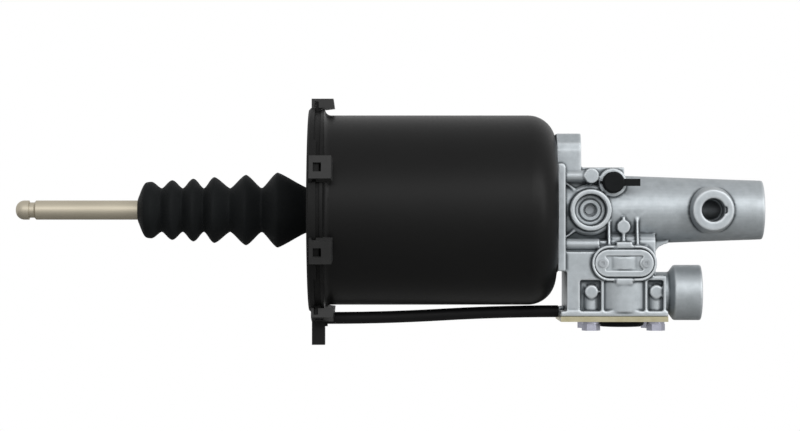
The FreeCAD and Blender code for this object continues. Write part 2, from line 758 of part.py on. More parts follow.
def make_plunger_seal():
    """Lip ring at the hydraulic end of the gland."""
    end = f"({GLAND_START} + gland_length - 0.2)"
    outer = "(plunger_radius + 3.4)"
    return node("plunger_seal", turned("plunger_seal", [
        (f"{end} - 4.6", "plunger_radius + seal_gap"),
        (f"{end} - 4.6", outer),
        (end, outer),
        (end, f"{outer} - 1"),
        (f"{end} - 2.6", "plunger_radius + 1.7"),
        (end, "plunger_radius + 1"),
        (end, "plunger_radius + seal_gap"),
    ]))


def make_gland_ring():
    """Snap ring that holds the gland in the housing."""
    body = turned("gland_ring_body", [
        (f"{GLAND_START} - 1.3", "gland_radius - 2"),
        (f"{GLAND_START} - 1.3", "gland_radius + 0.8"),
        (f"{GLAND_START} - 0.1", "gland_radius + 0.8"),
        (f"{GLAND_START} - 0.1", "gland_radius - 2"),
    ])
    gap = slab("gland_ring_gap", (f"{GLAND_START} - 3", f"{GLAND_START} + 1"), "3",
               ("gland_radius - 4", "gland_radius + 3"))
    return node("gland_snap_ring", carve("gland_ring_cut", body, [gap]))


def make_fixing_screws():
    """Four cap screws that hold the can against the housing."""
    face = f"({SEAT} - can_wall)"
    screws = []
    for k, (y, z) in enumerate(screw_spots()):
        head = drum(f"screw_head_{k}", "4.6", "4", (f"{face} - 4", y, z), "X")
        shank = drum(f"screw_shank_{k}", "2.5", "can_wall + 9.5", (f"{face} - 1", y, z), "X")
        socket = drum(f"screw_socket_{k}", "2.1", "3", (f"{face} - 5", y, z), "X")
        solid = join(f"screw_solid_{k}", [head, shank])
        screws.append(carve(f"screw_{k}", solid, [socket]))
    group = DOC.addObject("Part::Compound", "fixing_screw_group")
    group.Links = screws
    return node("fixing_screws", group)


def make_seat_seals():
    """Rubber rings in the seat face: one at the register, one at the air passage."""
    register = DOC.addObject("Part::Torus", "register_ring")
    bind(register, "Radius1", "spigot_radius + 1.9")
    bind(register, "Radius2", "1.0")
    place(register, (f"{SEAT} + 1.1", "0", "0"), "X")
    passage = DOC.addObject("Part::Torus", "passage_ring")
    bind(passage, "Radius1", "4.6")
    bind(passage, "Radius2", "0.8")
    place(passage, (f"{SEAT} + 0.9", "0", "-air_drop"), "X")
    return [node("register_seal", register), node("air_passage_seal", passage)]


def seat_grooves():
    """Grooves of the seat seals in the housing."""
    wide = drum("register_groove", "spigot_radius + 3", "2.1", (SEAT, "0", "0"), "X")
    keep = drum("register_keep", "spigot_radius", "2.1", (SEAT, "0", "0"), "X")
    small = drum("passage_groove", "5.5", "1.75", (SEAT, "0", "-air_drop"), "X")
    return [carve("register_ring_groove", wide, [keep]), small]


def extruded(label, plane, points, length, spot):
    """A prism about its sketch plane, as long on one side as on the other."""
    body = DOC.addObject("PartDesign::Body", label)
    sketch = outline(body, plane, points)
    pad = body.newObject("PartDesign::Pad", "Prism")
    pad.Profile = sketch
    bind(pad, "Length", length)
    pad.Midplane = True
    sketch.Visibility = False
    return place(body, spot)


def oval(name, length, height, near, far):
    """A flat oval on the front of the block, between two depths."""
    reach = f"(({length}) / 2 - ({height}) / 2)"
    middle = block(f"{name}_middle", (f"{VALVE} - {reach}", f"{VALVE} + {reach}"),
                   (f"-({far})", f"-({near})"),
                   (f"-oval_drop - ({height}) / 2", f"-oval_drop + ({height}) / 2"))
    ends = [drum(f"{name}_end{k}", f"({height}) / 2", f"({far}) - ({near})",
                 (f"{VALVE} {side} {reach}", f"-({near})", "-oval_drop"), "-Y")
            for k, side in enumerate("+-")]
    return join(name, [middle] + ends)


def valve_block():
    """Outer form of the cast valve block, with pockets and the oval rim."""
    back = f"({VALVE} - block_back)"
    side = f"({VALVE} + block_side)"
    narrow = f"({VALVE} + block_narrow)"
    core = slab("block_core", (back, narrow), "front_face - pocket_depth",
                ("-block_bottom", "-block_top"))
    upper = slab("block_upper", (back, f"{VALVE} - 10"), "front_face",
                 ("-block_bottom", "-block_front_top"))
    half = [("22.5", "-26.5"), ("22.5", "-19.6"), ("21.3", "-16.8"), ("18.5", "-15.2"), ("14", "-14.6")]
    saddle = extruded("block_saddle", "YZ_Plane",
                      [(f"-{y}", z) for y, z in half] + half[::-1],
                      "block_narrow + 9.5", (f"{VALVE} + (block_narrow - 9.5) / 2", "0", "0"))
    lower = slab("block_lower", (back, side), "front_face", ("-block_bottom", "-block_shoulder"))
    rim = oval("oval_outer", "oval_length", "oval_height", "front_face - 6", "front_face + 2")
    solid = join("block_solid", [core, upper, lower, saddle, rim])
    tools = []
    floor = "(front_face - pocket_depth)"
    for k, (low, high) in enumerate([(f"-({floor}) - pocket_depth - 1", f"-({floor})"),
                                     (floor, f"{floor} + pocket_depth + 1")]):
        tools.append(block(f"pocket_back{k}", (f"{VALVE} - 27.2", f"{VALVE} - 14.3"), (low, high),
                           ("-block_bottom", "-pocket_top")))
        tools.append(block(f"pocket_side{k}", (f"{VALVE} + 14.3", f"{VALVE} + 24"), (low, high),
                           ("-block_bottom", "-pocket_top")))
        tools.append(block(f"pocket_middle{k}", (f"{VALVE} - 12.6", f"{VALVE} + 12.6"),
                           (low, high), ("-block_bottom", "-pocket_top")))
    tools.append(oval_inside("oval_bed"))
    tools.append(block("oval_break", (f"{VALVE} - 6", f"{VALVE} + 6"),
                       ("-front_face - 3", "-front_face"),
                       ("-oval_drop - oval_height", "-oval_drop + oval_height")))
    return carve("block_form", solid, tools)


def oval_inside(name):
    """The room inside the oval rim, in front of the block's face."""
    return oval(name, "oval_length - 2 * oval_rim", "oval_height - 2 * oval_rim",
                "front_face", "front_face + 3")


def oval_floor():
    """Flat floor inside the oval rim, around the drum that shows in the window."""
    floor = oval_inside("oval_inner")
    drum_room = block("drum_room", (f"{VALVE} - 10.6", f"{VALVE} + 10.6"),
                      ("-front_face - 4", "-front_face + 1"), ("-oval_drop - 3.9", "-oval_drop + 3.9"))
    return carve("oval_floor", floor, [drum_room])


def bolt_spots():
    """The four base bolts, as X and Y formulas."""
    return [(f"({VALVE} {along} bolt_spacing / 2)", f"{across}bolt_spacing / 2")
            for along in "-+" for across in "-+"]


def block_details():
    """Drum, bolt bosses, pads, tabs and ribs on the valve block."""
    items = []
    reach = "valve_drum_face - valve_drum_radius"
    for k, side in enumerate("-+"):
        whole = drum(f"valve_drum_{k}", "valve_drum_radius", "block_bottom - block_top - 3",
                     (VALVE, f"{side}({reach})", "-block_bottom"), "Z")
        width = slab(f"drum_width_{k}", (f"{VALVE} - valve_drum_half", f"{VALVE} + valve_drum_half"),
                     "valve_drum_face + 1", ("-block_bottom", "-block_top - 3"))
        items.append(shared(f"drum_front_{k}", [whole, width]))
    for k, (x, y) in enumerate(bolt_spots()):
        items.append(drum(f"bolt_boss_{k}", "bolt_boss", "15.8", (x, y, "-block_bottom"), "Z"))
    for k, side in enumerate("-+"):
        items.append(drum(f"boss_pad_{k}", "bolt_boss - 0.8", "7.5",
                          (f"{VALVE} {side} bolt_spacing / 2", "-18.5", "-50.3"), "-Y"))
    items.append(block("tab_top", (f"{VALVE} - 4.8", f"{VALVE} + 4.8"),
                       ("-front_face - 1.4", "-front_face + 10"),
                       (f"-oval_drop + {OVAL_PLATE_HEIGHT} / 2 + soft_gap", "-block_top - 0.7")))
    items.append(block("tab_bottom", (f"{VALVE} - 4.8", f"{VALVE} + 4.8"),
                       ("-front_face - 1.4", "-front_face + 6"),
                       ("-oval_drop - tab_reach",
                        f"-oval_drop - {OVAL_PLATE_HEIGHT} / 2 - soft_gap")))
    gusset = [("-12", "-27"), ("-25", "-27"), ("-25", "-20"), ("-20.5", "-3"), ("-12", "-3")]
    for k, offset in enumerate(("- 9", "+ 8.5")):
        items.append(extruded(f"gusset_{k}", "YZ_Plane", gusset, "1.6",
                              (f"{VALVE} {offset}", "0", "0")))
    items.append(drum("stem_pad", "4.1", "9", (VALVE, "-14.6", "-10.3"), "-Y"))
    items.append(block("pad_stem", (f"{VALVE} - 0.9", f"{VALVE} + 0.9"), ("-23.4", "-14"),
                       ("-19.5", "-4")))
    return items


def supply_port():
    """Boss of the compressed air port, beside the block."""
    start = f"({SEAT} + supply_start)"
    drop = "-supply_height"
    neck = drum("supply_neck", "supply_neck_radius", "supply_start - valve_distance - 12",
                (f"{VALVE} + 12", "0", drop), "X")
    slope = taper("supply_slope", "supply_neck_radius", "supply_radius",
                  "(supply_radius - supply_neck_radius) * 0.75",
                  (f"{start} - (supply_radius - supply_neck_radius) * 0.75", "0", drop), "X")
    body = drum("supply_body", "supply_radius", "supply_length", (start, "0", drop), "X")
    return [neck, slope, body]


def housing_body():
    """Tube, seat plate, top block, shelf and the bosses of the housing."""
    tube = taper("tube", "tube_radius", "tube_tip_radius", "tube_length", (SEAT, "0", "0"), "X")
    plate = slab("seat_plate", (SEAT, f"{SEAT} + seat_plate"), "seat_half_width",
                 ("-seat_bottom", "seat_top - seat_round"))
    edge = slab("seat_edge", (SEAT, f"{SEAT} + seat_plate - seat_round"), "seat_half_width",
                ("0", "seat_top"))
    edge_round = drum("seat_edge_round", "seat_round", "2 * seat_half_width",
                      (f"{SEAT} + seat_plate - seat_round", "-seat_half_width",
                       "seat_top - seat_round"), "Y")
    register = drum("seat_register", "spigot_radius", "spigot_reach + 1",
                    (f"{SEAT} - spigot_reach", "0", "0"), "X")
    lug = extruded("top_block", "YZ_Plane", [
        ("-lug_half_width", "seat_top - 8"),
        ("-lug_half_width", "lug_top - lug_bevel - 4.4"),
        ("-lug_half_width + 1.2", "lug_top - lug_bevel"),
        ("-lug_half_width + lug_bevel", "lug_top"),
        ("lug_half_width - lug_bevel", "lug_top"),
        ("lug_half_width - 1.2", "lug_top - lug_bevel"),
        ("lug_half_width", "lug_top - lug_bevel - 4.4"),
        ("lug_half_width", "seat_top - 8"),
    ], "lug_length", (f"{SEAT} + lug_length / 2", "0", "0"))
    shelf = slab("shelf", (SEAT, f"{SEAT} + shelf_length"), "shelf_half_width", ("0", "shelf_top"))
    items = [tube, plate, edge, edge_round, register, lug, shelf]
    port_root = "(port_height - 14)"
    items.append(taper("port_boss", "port_root_radius", "port_radius", "14",
                       (f"{SEAT} + port_distance", f"-{port_root}", "0"), "-Y"))
    items.append(drum("blank_boss", "blank_radius", "front_face - 8",
                      (f"{SEAT} + blank_distance", "-10", "0"), "-Y"))
    items.append(drum("blank_collar", "collar_radius", "collar_face - 10",
                      (f"{SEAT} + blank_distance", "-10", "0"), "-Y"))
    items.append(taper("blank_slope", "collar_radius", "collar_radius - 1.2", "1.2",
                       (f"{SEAT} + blank_distance", "-collar_face", "0"), "-Y"))
    for k, side in enumerate("+-"):
        web = [("4", f"{side}18.4"), ("11.4", f"{side}13.4"), ("10.8", f"{side}12.2"), ("4", f"{side}17.2")]
        items.append(extruded(f"blank_web_{k}", "XZ_Plane", web, "9.5", (SEAT, "-14.75", "0")))
    items.append(drum("bleed_boss", "bleed_boss_radius", "17",
                      (f"{SEAT} + bleed_distance", "-5", "bleed_height"), "-Y"))
    items.append(drum("shelf_pad", "4.5", "3", (f"{SEAT} + 20.9", "-13.6", "21.1"), "-Y"))
    for k, (y, z) in enumerate(screw_spots()):
        reach = "20.3" if z.startswith("+") else "25.8"
        items.append(drum(f"screw_boss_{k}", "screw_boss_radius", reach, (SEAT, y, z), "X"))
    return items


def base_flange():
    """Cast flange under the block, with the boss and nipple of the vent tube."""
    left = f"({VALVE} - flange_left)"
    flange = slab("cast_flange", (left, f"{VALVE} + flange_right"), "front_face + 0.4",
                  (PLATE_TOP, "-block_bottom + 0.5"))
    boss = slab("vent_boss", (left, f"{left} + 5"), "5", (PLATE_TOP, "-block_bottom + 2.7"))
    nipple = drum("rear_nipple", "vent_bore - run_gap", "nipple_length + 1",
                  (f"{left} - nipple_length", "0", "-vent_rear_drop"), "X")
    return [flange, boss, nipple]


def housing_bores():
    """Every bore, thread core and passage of the housing."""
    port = f"({SEAT} + port_distance)"
    blank = f"({SEAT} + blank_distance)"
    bleed = f"({SEAT} + bleed_distance)"
    mouth = f"({SEAT} - spigot_reach - 1)"
    left = f"({VALVE} - flange_left)"
    supply_end = f"({SEAT} + supply_start + supply_length)"
    blank_floor = "(front_face + 2 - blank_depth)"
    tools = [
        drum("main_bore", "bore_radius", f"{SEAT} + tube_length - tube_end_wall - {mouth}",
             (mouth, "0", "0"), "X"),
        drum("gland_bore", "gland_radius", f"{GLAND_START} + gland_length - {mouth}",
             (mouth, "0", "0"), "X"),
        drum("ring_groove", "gland_radius + 1", "1.4", (f"{GLAND_START} - 1.4", "0", "0"), "X"),
        drum("port_thread", "port_hole_radius", "port_hole_depth + 1",
             (port, "-port_height - 1", "0"), "Y"),
        drum("port_passage", "port_passage_radius", "port_height", (port, "-port_height + 1", "0"), "Y"),
        block("port_notch", (port, f"{port} + port_hole_radius + 1.4"),
              ("-port_height - 1", "-port_height + 3"), ("-2.1", "2.1")),
        drum("blank_recess", "blank_radius - blank_rim", "blank_depth + 1",
             (blank, "-front_face - 3", "0"), "Y"),
        drum("blank_seat", "sleeve_radius + run_gap", "7", (blank, f"-{blank_floor} - 0.5", "0"), "Y"),
        drum("pin_bore", "sleeve_bore", "10.2", (blank, f"-{blank_floor} - 0.5", "0"), "Y"),
        drum("blank_passage", "2", "12", (blank, "-16", "0"), "Y"),
        drum("bleed_thread", "bleed_hole_radius + run_gap", "18.5", (bleed, "-23", "bleed_height"), "Y"),
        drum("bleed_passage", "1.2", "bleed_height - 8", (bleed, "-6.5", "8"), "Z"),
        drum("control_bore", "control_bore_radius", "11", (VALVE, "0", "-31"), "Z"),
        drum("control_passage", "1.5", "13", (VALVE, "0", "-21"), "Z"),
        drum("valve_bore", "valve_bore_radius", "block_bottom + flange_thickness - 29",
             (VALVE, "0", f"{PLATE_TOP} - 1"), "Z"),
        drum("supply_thread", "supply_hole_radius", "supply_hole_depth + 1",
             (f"{supply_end} - supply_hole_depth", "0", "-supply_height"), "X"),
        drum("supply_passage", "5", f"{supply_end} - {VALVE} - 15",
             (f"{VALVE} + 12", "0", "-supply_height"), "X"),
        drum("air_passage", "2.8", "valve_distance - 12", (f"{SEAT} - 1", "0", "-air_drop"), "X"),
        drum("vent_channel", "1.2", "flange_left + nipple_length - 13",
             (f"{left} - nipple_length - 1", "0", "-vent_rear_drop"), "X"),
        drum("lug_hole", "lug_hole_radius", "lug_hole_depth + 1",
             (f"{SEAT} + lug_length / 2", "0", "lug_top + 1"), "-Z"),
    ]
    for k, (x, y) in enumerate(bolt_spots()):
        tools.append(drum(f"bolt_core_{k}", "bolt_radius + run_gap", "12.5",
                          (x, y, f"{PLATE_TOP} - 1"), "Z"))
    for k, (y, z) in enumerate(screw_spots()):
        tools.append(drum(f"screw_core_{k}", "2.55", "11.5", (f"{SEAT} - 1", y, z), "X"))
    for k, side in enumerate("-+"):
        tools.append(drum(f"oval_core_{k}", "oval_screw_radius + run_gap", "9",
                          (f"{VALVE} {side} oval_screw_spacing / 2", "-front_face - 1",
                           "-oval_drop"), "Y"))
    return tools + seat_grooves()


def make_housing():
    """One aluminium die casting: hydraulic tube, seat, ports and valve block."""
    solid = join("housing_solid", housing_body() + [valve_block()] + block_details()
                 + supply_port() + base_flange())
    return node("housing", carve("housing_cut", solid, housing_bores() + [oval_floor()]))


CONTROL_HEAD_TOP = "-22"
CARRIER_TOP = "-46"
CARRIER_BOTTOM = "(-50)"
GUIDE_RIM = "(-64)"


def make_control_piston():
    """Hydraulic control piston: sealed head and the stem that opens the valve."""
    head = "(control_bore_radius - run_gap)"
    bottom = f"({CONTROL_HEAD_TOP} - 7)"
    return node("control_piston", turned("control_piston", [
        ("0", CONTROL_HEAD_TOP),
        (f"{head} - 0.6", CONTROL_HEAD_TOP),
        (head, f"{CONTROL_HEAD_TOP} - 0.6"),
        (head, f"{CONTROL_HEAD_TOP} - 2"),
        (f"{head} - 1.4", f"{CONTROL_HEAD_TOP} - 2"),
        (f"{head} - 1.4", f"{CONTROL_HEAD_TOP} - 4"),
        (head, f"{CONTROL_HEAD_TOP} - 4"),
        (head, bottom),
        ("3", bottom),
        ("3", f"{CARRIER_BOTTOM} + 0.7"),
        ("0", f"{CARRIER_BOTTOM} + 0.7"),
    ], axis="Z", spot=(VALVE, "0", "0")))


def make_control_seal():
    """Rubber ring in the head of the control piston."""
    inner = "(control_bore_radius - 1.4)"
    return node("control_seal", turned("control_seal", [
        (inner, f"{CONTROL_HEAD_TOP} - 2.1"),
        ("control_bore_radius - seal_gap", f"{CONTROL_HEAD_TOP} - 2.1"),
        ("control_bore_radius - seal_gap", f"{CONTROL_HEAD_TOP} - 3.9"),
        (inner, f"{CONTROL_HEAD_TOP} - 3.9"),
    ], axis="Z", spot=(VALVE, "0", "0")))


def make_valve_springs():
    """Return spring of the control piston and closing spring of the valve cone."""
    centre = size("cover_length") + size("can_length") + size("valve_distance")
    control = coil("control_spring", 4.3, 0.55, 4, -45.2, -29.8, (centre, 0, -45.2), "Z")
    valve = coil("valve_spring", 5.7, 0.55, 4, -63.2, -53.9, (centre, 0, -63.2), "Z")
    return [control, valve]


def make_valve_seat():
    """Ring in the valve chamber whose lower edge is the inlet seat."""
    outer = "(valve_bore_radius - run_gap)"
    return node("valve_seat", turned("valve_seat", [
        ("3.8", CARRIER_TOP),
        (outer, CARRIER_TOP),
        (outer, f"{CARRIER_BOTTOM} + 0.8"),
        ("6.4", f"{CARRIER_BOTTOM} + 0.8"),
        ("5.6", CARRIER_BOTTOM),
        ("5", CARRIER_BOTTOM),
        ("5", f"{CARRIER_TOP} - 1"),
        ("3.8", f"{CARRIER_TOP} - 1"),
    ], axis="Z", spot=(VALVE, "0", "0")))


def make_valve_cone():
    """Hollow valve cone with its rubber face, closed upwards against the seat."""
    face = turned("valve_face", [
        ("1.8", f"{CARRIER_BOTTOM} - 0.3"),
        ("7.4", f"{CARRIER_BOTTOM} - 0.3"),
        ("7.4", f"{CARRIER_BOTTOM} - 1.8"),
        ("1.8", f"{CARRIER_BOTTOM} - 1.8"),
    ], axis="Z", spot=(VALVE, "0", "0"))
    cone = turned("valve_cone", [
        ("1.8", f"{CARRIER_BOTTOM} - 1.8"),
        ("7.4", f"{CARRIER_BOTTOM} - 1.8"),
        ("7.4", f"{CARRIER_BOTTOM} - 3"),
        ("3.6", f"{CARRIER_BOTTOM} - 3"),
        ("3.6", "-63.3"),
        ("1.8", "-63.3"),
    ], axis="Z", spot=(VALVE, "0", "0"))
    return [node("valve_face", face), node("valve_cone", cone)]


def make_valve_guide():
    """Bush and spring seat under the valve cone, held by the base plate."""
    body = turned("valve_guide_body", [
        ("3.6 + run_gap", "-57"),
        ("4.8", "-57"),
        ("4.8", GUIDE_RIM),
        ("valve_bore_radius - run_gap", GUIDE_RIM),
        ("valve_bore_radius - run_gap", PLATE_TOP),
        ("3.6 + run_gap", PLATE_TOP),
    ], axis="Z", spot=(VALVE, "0", "0"))
    holes = [drum(f"guide_hole_{k}", "1.5", "4", (f"{VALVE} + ({x})", str(y), f"{PLATE_TOP} - 1"), "Z")
             for k, (x, y) in enumerate(((9, 0), (0, 9), (-9, 0), (0, -9)))]
    return node("valve_guide", carve("valve_guide_cut", body, holes))


def make_base_plate():
    """Plated steel plate that closes the valve chamber from below."""
    left = f"({VALVE} - flange_left)"
    plate = slab("plate_blank", (left, f"{VALVE} + flange_right"), "front_face + 0.4",
                 (PLATE_BOTTOM, PLATE_TOP))
    tools = [drum("plate_vent", "11", "plate_thickness + 2", (VALVE, "0", f"{PLATE_BOTTOM} - 1"), "Z")]
    for k, (x, y) in enumerate(bolt_spots()):
        tools.append(drum(f"plate_hole_{k}", "bolt_radius + 0.3", "plate_thickness + 2",
                          (x, y, f"{PLATE_BOTTOM} - 1"), "Z"))
    return node("base_plate", carve("plate_cut", plate, tools))


def make_base_bolts():
    """Four hexagon bolts and their washers under the base plate."""
    bolts = []
    washers = []
    for k, (x, y) in enumerate(bolt_spots()):
        under = f"({PLATE_BOTTOM} - 1.5)"
        head = DOC.addObject("Part::Prism", f"bolt_head_{k}")
        head.Polygon = 6
        bind(head, "Circumradius", "bolt_radius * 1.9")
        bind(head, "Height", "4.1")
        place(head, (x, y, f"{under} - 4.1"))
        shank = drum(f"bolt_shank_{k}", "bolt_radius", "plate_thickness + 12", (x, y, f"{under} - 1"), "Z")
        bolts.append(join(f"base_bolt_{k}", [head, shank]))
        ring = drum(f"washer_ring_{k}", "bolt_radius * 1.8", "1.5", (x, y, under), "Z")
        bore = drum(f"washer_bore_{k}", "bolt_radius + 0.2", "3", (x, y, f"{under} - 1"), "Z")
        washers.append(carve(f"washer_{k}", ring, [bore]))
    nodes = []
    for label, items in (("base_bolts", bolts), ("base_washers", washers)):
        group = DOC.addObject("Part::Compound", f"{label}_group")
        group.Links = items
        nodes.append(node(label, group))
    return nodes


def make_exhaust():
    """Grid in the base plate and the rubber disc that hangs under it."""
    grid = turned("exhaust_grid_body", [
        ("2.6", f"{PLATE_BOTTOM} + 0.1"),
        ("10.95", f"{PLATE_BOTTOM} + 0.1"),
        ("10.95", f"{PLATE_BOTTOM} + 1.5"),
        ("2.6", f"{PLATE_BOTTOM} + 1.5"),
    ], axis="Z", spot=(VALVE, "0", "0"))
    holes = []
    for k in range(6):
        turn = math.radians(60 * k)
        spot = (f"{VALVE} + {6.6 * math.cos(turn):.3f}", f"{6.6 * math.sin(turn):.3f}",
                f"{PLATE_BOTTOM} - 1")
        holes.append(drum(f"grid_hole_{k}", "1.9", "4", spot, "Z"))
    flap = turned("exhaust_flap", [
        ("0", f"{PLATE_BOTTOM} - 3.8"),
        ("12.4", f"{PLATE_BOTTOM} - 3.8"),
        ("13.9", f"{PLATE_BOTTOM} - 3"),
        ("14.5", f"{PLATE_BOTTOM} - 1.4"),
        ("14.5", f"{PLATE_BOTTOM} - 0.3"),
        ("2.3", f"{PLATE_BOTTOM} - 0.3"),
        ("2.3", f"{PLATE_BOTTOM} + 1.8"),
        ("3.2", f"{PLATE_BOTTOM} + 1.8"),
        ("1.2", f"{PLATE_BOTTOM} + 2.6"),
        ("0", f"{PLATE_BOTTOM} + 2.6"),
    ], axis="Z", spot=(VALVE, "0", "0"))
    return [node("exhaust_grid", carve("exhaust_grid_cut", grid, holes)), node("exhaust_flap", flap)]


def make_oval_cover():
    """Small cover in the oval rim, with a window and two screws."""
    length = "(oval_length - 2 * oval_rim - 0.6)"
    near = "front_face + run_gap"
    far = "front_face + 1.7"
    plate = oval("oval_plate", length, OVAL_PLATE_HEIGHT, near, far)
    window = block("plate_window", (f"{VALVE} - 11.3", f"{VALVE} + 11.3"),
                   ("-front_face - 3", "-front_face + 1"), ("-oval_drop - 4.5", "-oval_drop + 4.5"))
    eyes = []
    holes = []
    screws = []
    for k, side in enumerate("-+"):
        x = f"{VALVE} {side} oval_screw_spacing / 2"
        eyes.append(drum(f"screw_eye_{k}", "4", "1.7 - run_gap", (x, f"-({near})", "-oval_drop"), "-Y"))
        holes.append(drum(f"eye_hole_{k}", "oval_screw_radius + 0.15", "5",
                          (x, "-front_face - 4", "-oval_drop"), "Y"))
        head = drum(f"cover_screw_head_{k}", "2.5", "1.2", (x, f"-({far})", "-oval_drop"), "-Y")
        shank = drum(f"cover_screw_shank_{k}", "oval_screw_radius", "8",
                     (x, "-front_face - 2.2", "-oval_drop"), "Y")
        drive = block(f"cover_screw_drive_{k}", (f"{x} - 1.0", f"{x} + 1.0"),
                      ("-front_face - 4", "-front_face - 2.1"), ("-oval_drop - 1.0", "-oval_drop + 1.0"))
        screws.append(carve(f"cover_screw_{k}", join(f"cover_screw_solid_{k}", [head, shank]), [drive]))
    frame = join("oval_frame", [carve("oval_opening", plate, [window])] + eyes)
    group = DOC.addObject("Part::Compound", "cover_screw_group")
    group.Links = screws
    return [node("oval_cover", carve("oval_cover_cut", frame, holes)), node("cover_screws", group)]


def make_blank_port():
    """Pressed sleeve and pin that close the unused port."""
    spot = (f"{SEAT} + blank_distance", "0", "0")
    floor = "(front_face + 2 - blank_depth)"
    sleeve = turned("port_sleeve", [
        ("sleeve_bore", f"-({floor} - 6)"),
        ("sleeve_radius", f"-({floor} - 6)"),
        ("sleeve_radius", f"-({floor} + 1.6)"),
        ("sleeve_radius - 0.6", f"-({floor} + 2.2)"),
        ("sleeve_bore + 0.5", f"-({floor} + 2.2)"),
        ("sleeve_bore", f"-({floor} + 1.6)"),
    ], axis="Y", spot=spot)
    pin = turned("port_pin", [
        ("0", f"-({floor} - 9.6)"),
        ("sleeve_bore - run_gap", f"-({floor} - 9.6)"),
        ("sleeve_bore - run_gap", f"-({floor} - 8)"),
        ("2.6", f"-({floor} - 8)"),
        ("2.6", f"-({floor} - 5.5)"),
        ("0", f"-({floor} - 5.5)"),
    ], axis="Y", spot=spot)
    return [node("port_sleeve", sleeve), node("port_pin", pin)]


def make_bleeder():
    """Bleeder screw in its boss, and the rubber dust cap with its strap."""
    spot = (f"{SEAT} + bleed_distance", "0", "bleed_height")
    screw = turned("bleeder_body", [
        ("0", "-7"),
        ("2", "-7"),
        ("bleed_hole_radius", "-9.5"),
        ("bleed_hole_radius", "-22.2"),
        ("4.7", "-22.2"),
        ("4.7", "-25"),
        ("3", "-25"),
        ("3", "-26.4"),
        ("2.4", "-27"),
        ("3", "-27.6"),
        ("2.6", "-29"),
        ("0", "-29"),
    ], axis="Y", spot=spot)
    bore = drum("bleeder_bore", "1", "18", (spot[0], "-30", "bleed_height"), "Y")
    cap = turned("cap_body", [
        ("5.0", "-22.4"),
        ("cap_radius", "-22.4"),
        ("cap_radius", "-29.6"),
        ("cap_radius - 1", "-30.6"),
        ("0", "-30.6"),
        ("0", "-29.3"),
        ("3.3", "-29.3"),
        ("3.3", "-25.3"),
        ("5.0", "-25.3"),
    ], axis="Y", spot=spot)
    strap = block("cap_strap", (f"{spot[0]} + cap_radius - 1.2", f"{spot[0]} + 16.6"),
                  ("-26.4", "-24.4"), ("bleed_height - 2.2", "bleed_height + 2.2"))
    nub = drum("cap_nub", "0.9", "2.4", (f"{spot[0]} - cap_radius + 0.8", "-25.4", "bleed_height"), "-X")
    return [node("bleeder_screw", carve("bleeder_cut", screw, [bore])),
            node("dust_cap", join("cap_solid", [cap, strap, nub]))]


def make_vent_tube():
    """Rubber tube along the can: two equal arcs between the nipples."""
    start = size("cover_length") + 3.4
    end = size("cover_length") + size("can_length") + size("valve_distance") - size("flange_left") - 0.2
    low = -size("vent_front_drop")
    rise = size("vent_front_drop") - size("vent_rear_drop")
    length = end - start
    radius = (length ** 2 + rise ** 2) / (4 * rise)
    half = math.asin(length / (2 * radius))
    quarter = half / 2

    def lower(angle):
        return FreeCAD.Vector(start + radius * math.sin(angle), 0, low + radius * (1 - math.cos(angle)))

    def upper(angle):
        return FreeCAD.Vector(end - radius * math.sin(angle), 0,
                              low + rise - radius * (1 - math.cos(angle)))

    first = Part.Arc(lower(0), lower(quarter), lower(half)).toShape()
    second = Part.Arc(upper(half), upper(quarter), upper(0)).toShape()
    path = Part.Wire([first, second])
    print("vent tube arcs:", round(radius), "mm")
    along = FreeCAD.Vector(1, 0, 0)
    walls = []
    for section in (size("vent_radius"), size("vent_bore")):
        ring = Part.Wire([Part.makeCircle(section, FreeCAD.Vector(start, 0, low), along)])
        walls.append(path.makePipeShell([ring], True, False))
    tube = DOC.addObject("Part::Feature", "vent_tube")
    tube.Shape = walls[0].cut(walls[1])
    return node("vent_tube", tube)


MAKERS = [
    make_push_rod, make_boot, make_cover, make_cover_seal, make_clips, make_guide_bush,
    make_can, make_air_piston, make_piston_seal, make_guide_ring, make_plunger,
    make_piston_spring, make_gland, make_plunger_seal, make_gland_ring, make_fixing_screws,
    make_seat_seals, make_housing, make_control_piston, make_control_seal,
    make_valve_springs, make_valve_seat, make_valve_cone, make_valve_guide,
    make_base_plate, make_base_bolts, make_exhaust, make_oval_cover, make_blank_port,
    make_bleeder, make_vent_tube,
]


def check_document():
    """Stop if any object failed, or a sub-part has no valid solid."""
    DOC.recompute()
    for item in DOC.Objects:
        if "Invalid" in item.State or "Error" in item.State:
            raise RuntimeError(f"{item.Name} is {item.State}")
    for label, item in NODES.items():
        if item.Shape.isNull() or not item.Shape.isValid() or not item.Shape.Solids:
            raise RuntimeError(f"{label} has no valid solid")


def write_parts():
    """Write each sub-part to a STEP file named after its node."""
    os.makedirs("parts", exist_ok=True)
    for label, item in NODES.items():
        item.Shape.exportStep(f"parts/{label}.step")


fill_sheet()
for maker in MAKERS:
    maker()
check_document()
write_parts()
print(len(NODES), "nodes written")
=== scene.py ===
"""Clutch servo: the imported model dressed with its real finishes, and its soft and cast pieces."""

import json
import logging
import math
from dataclasses import dataclass, field
from enum import Enum

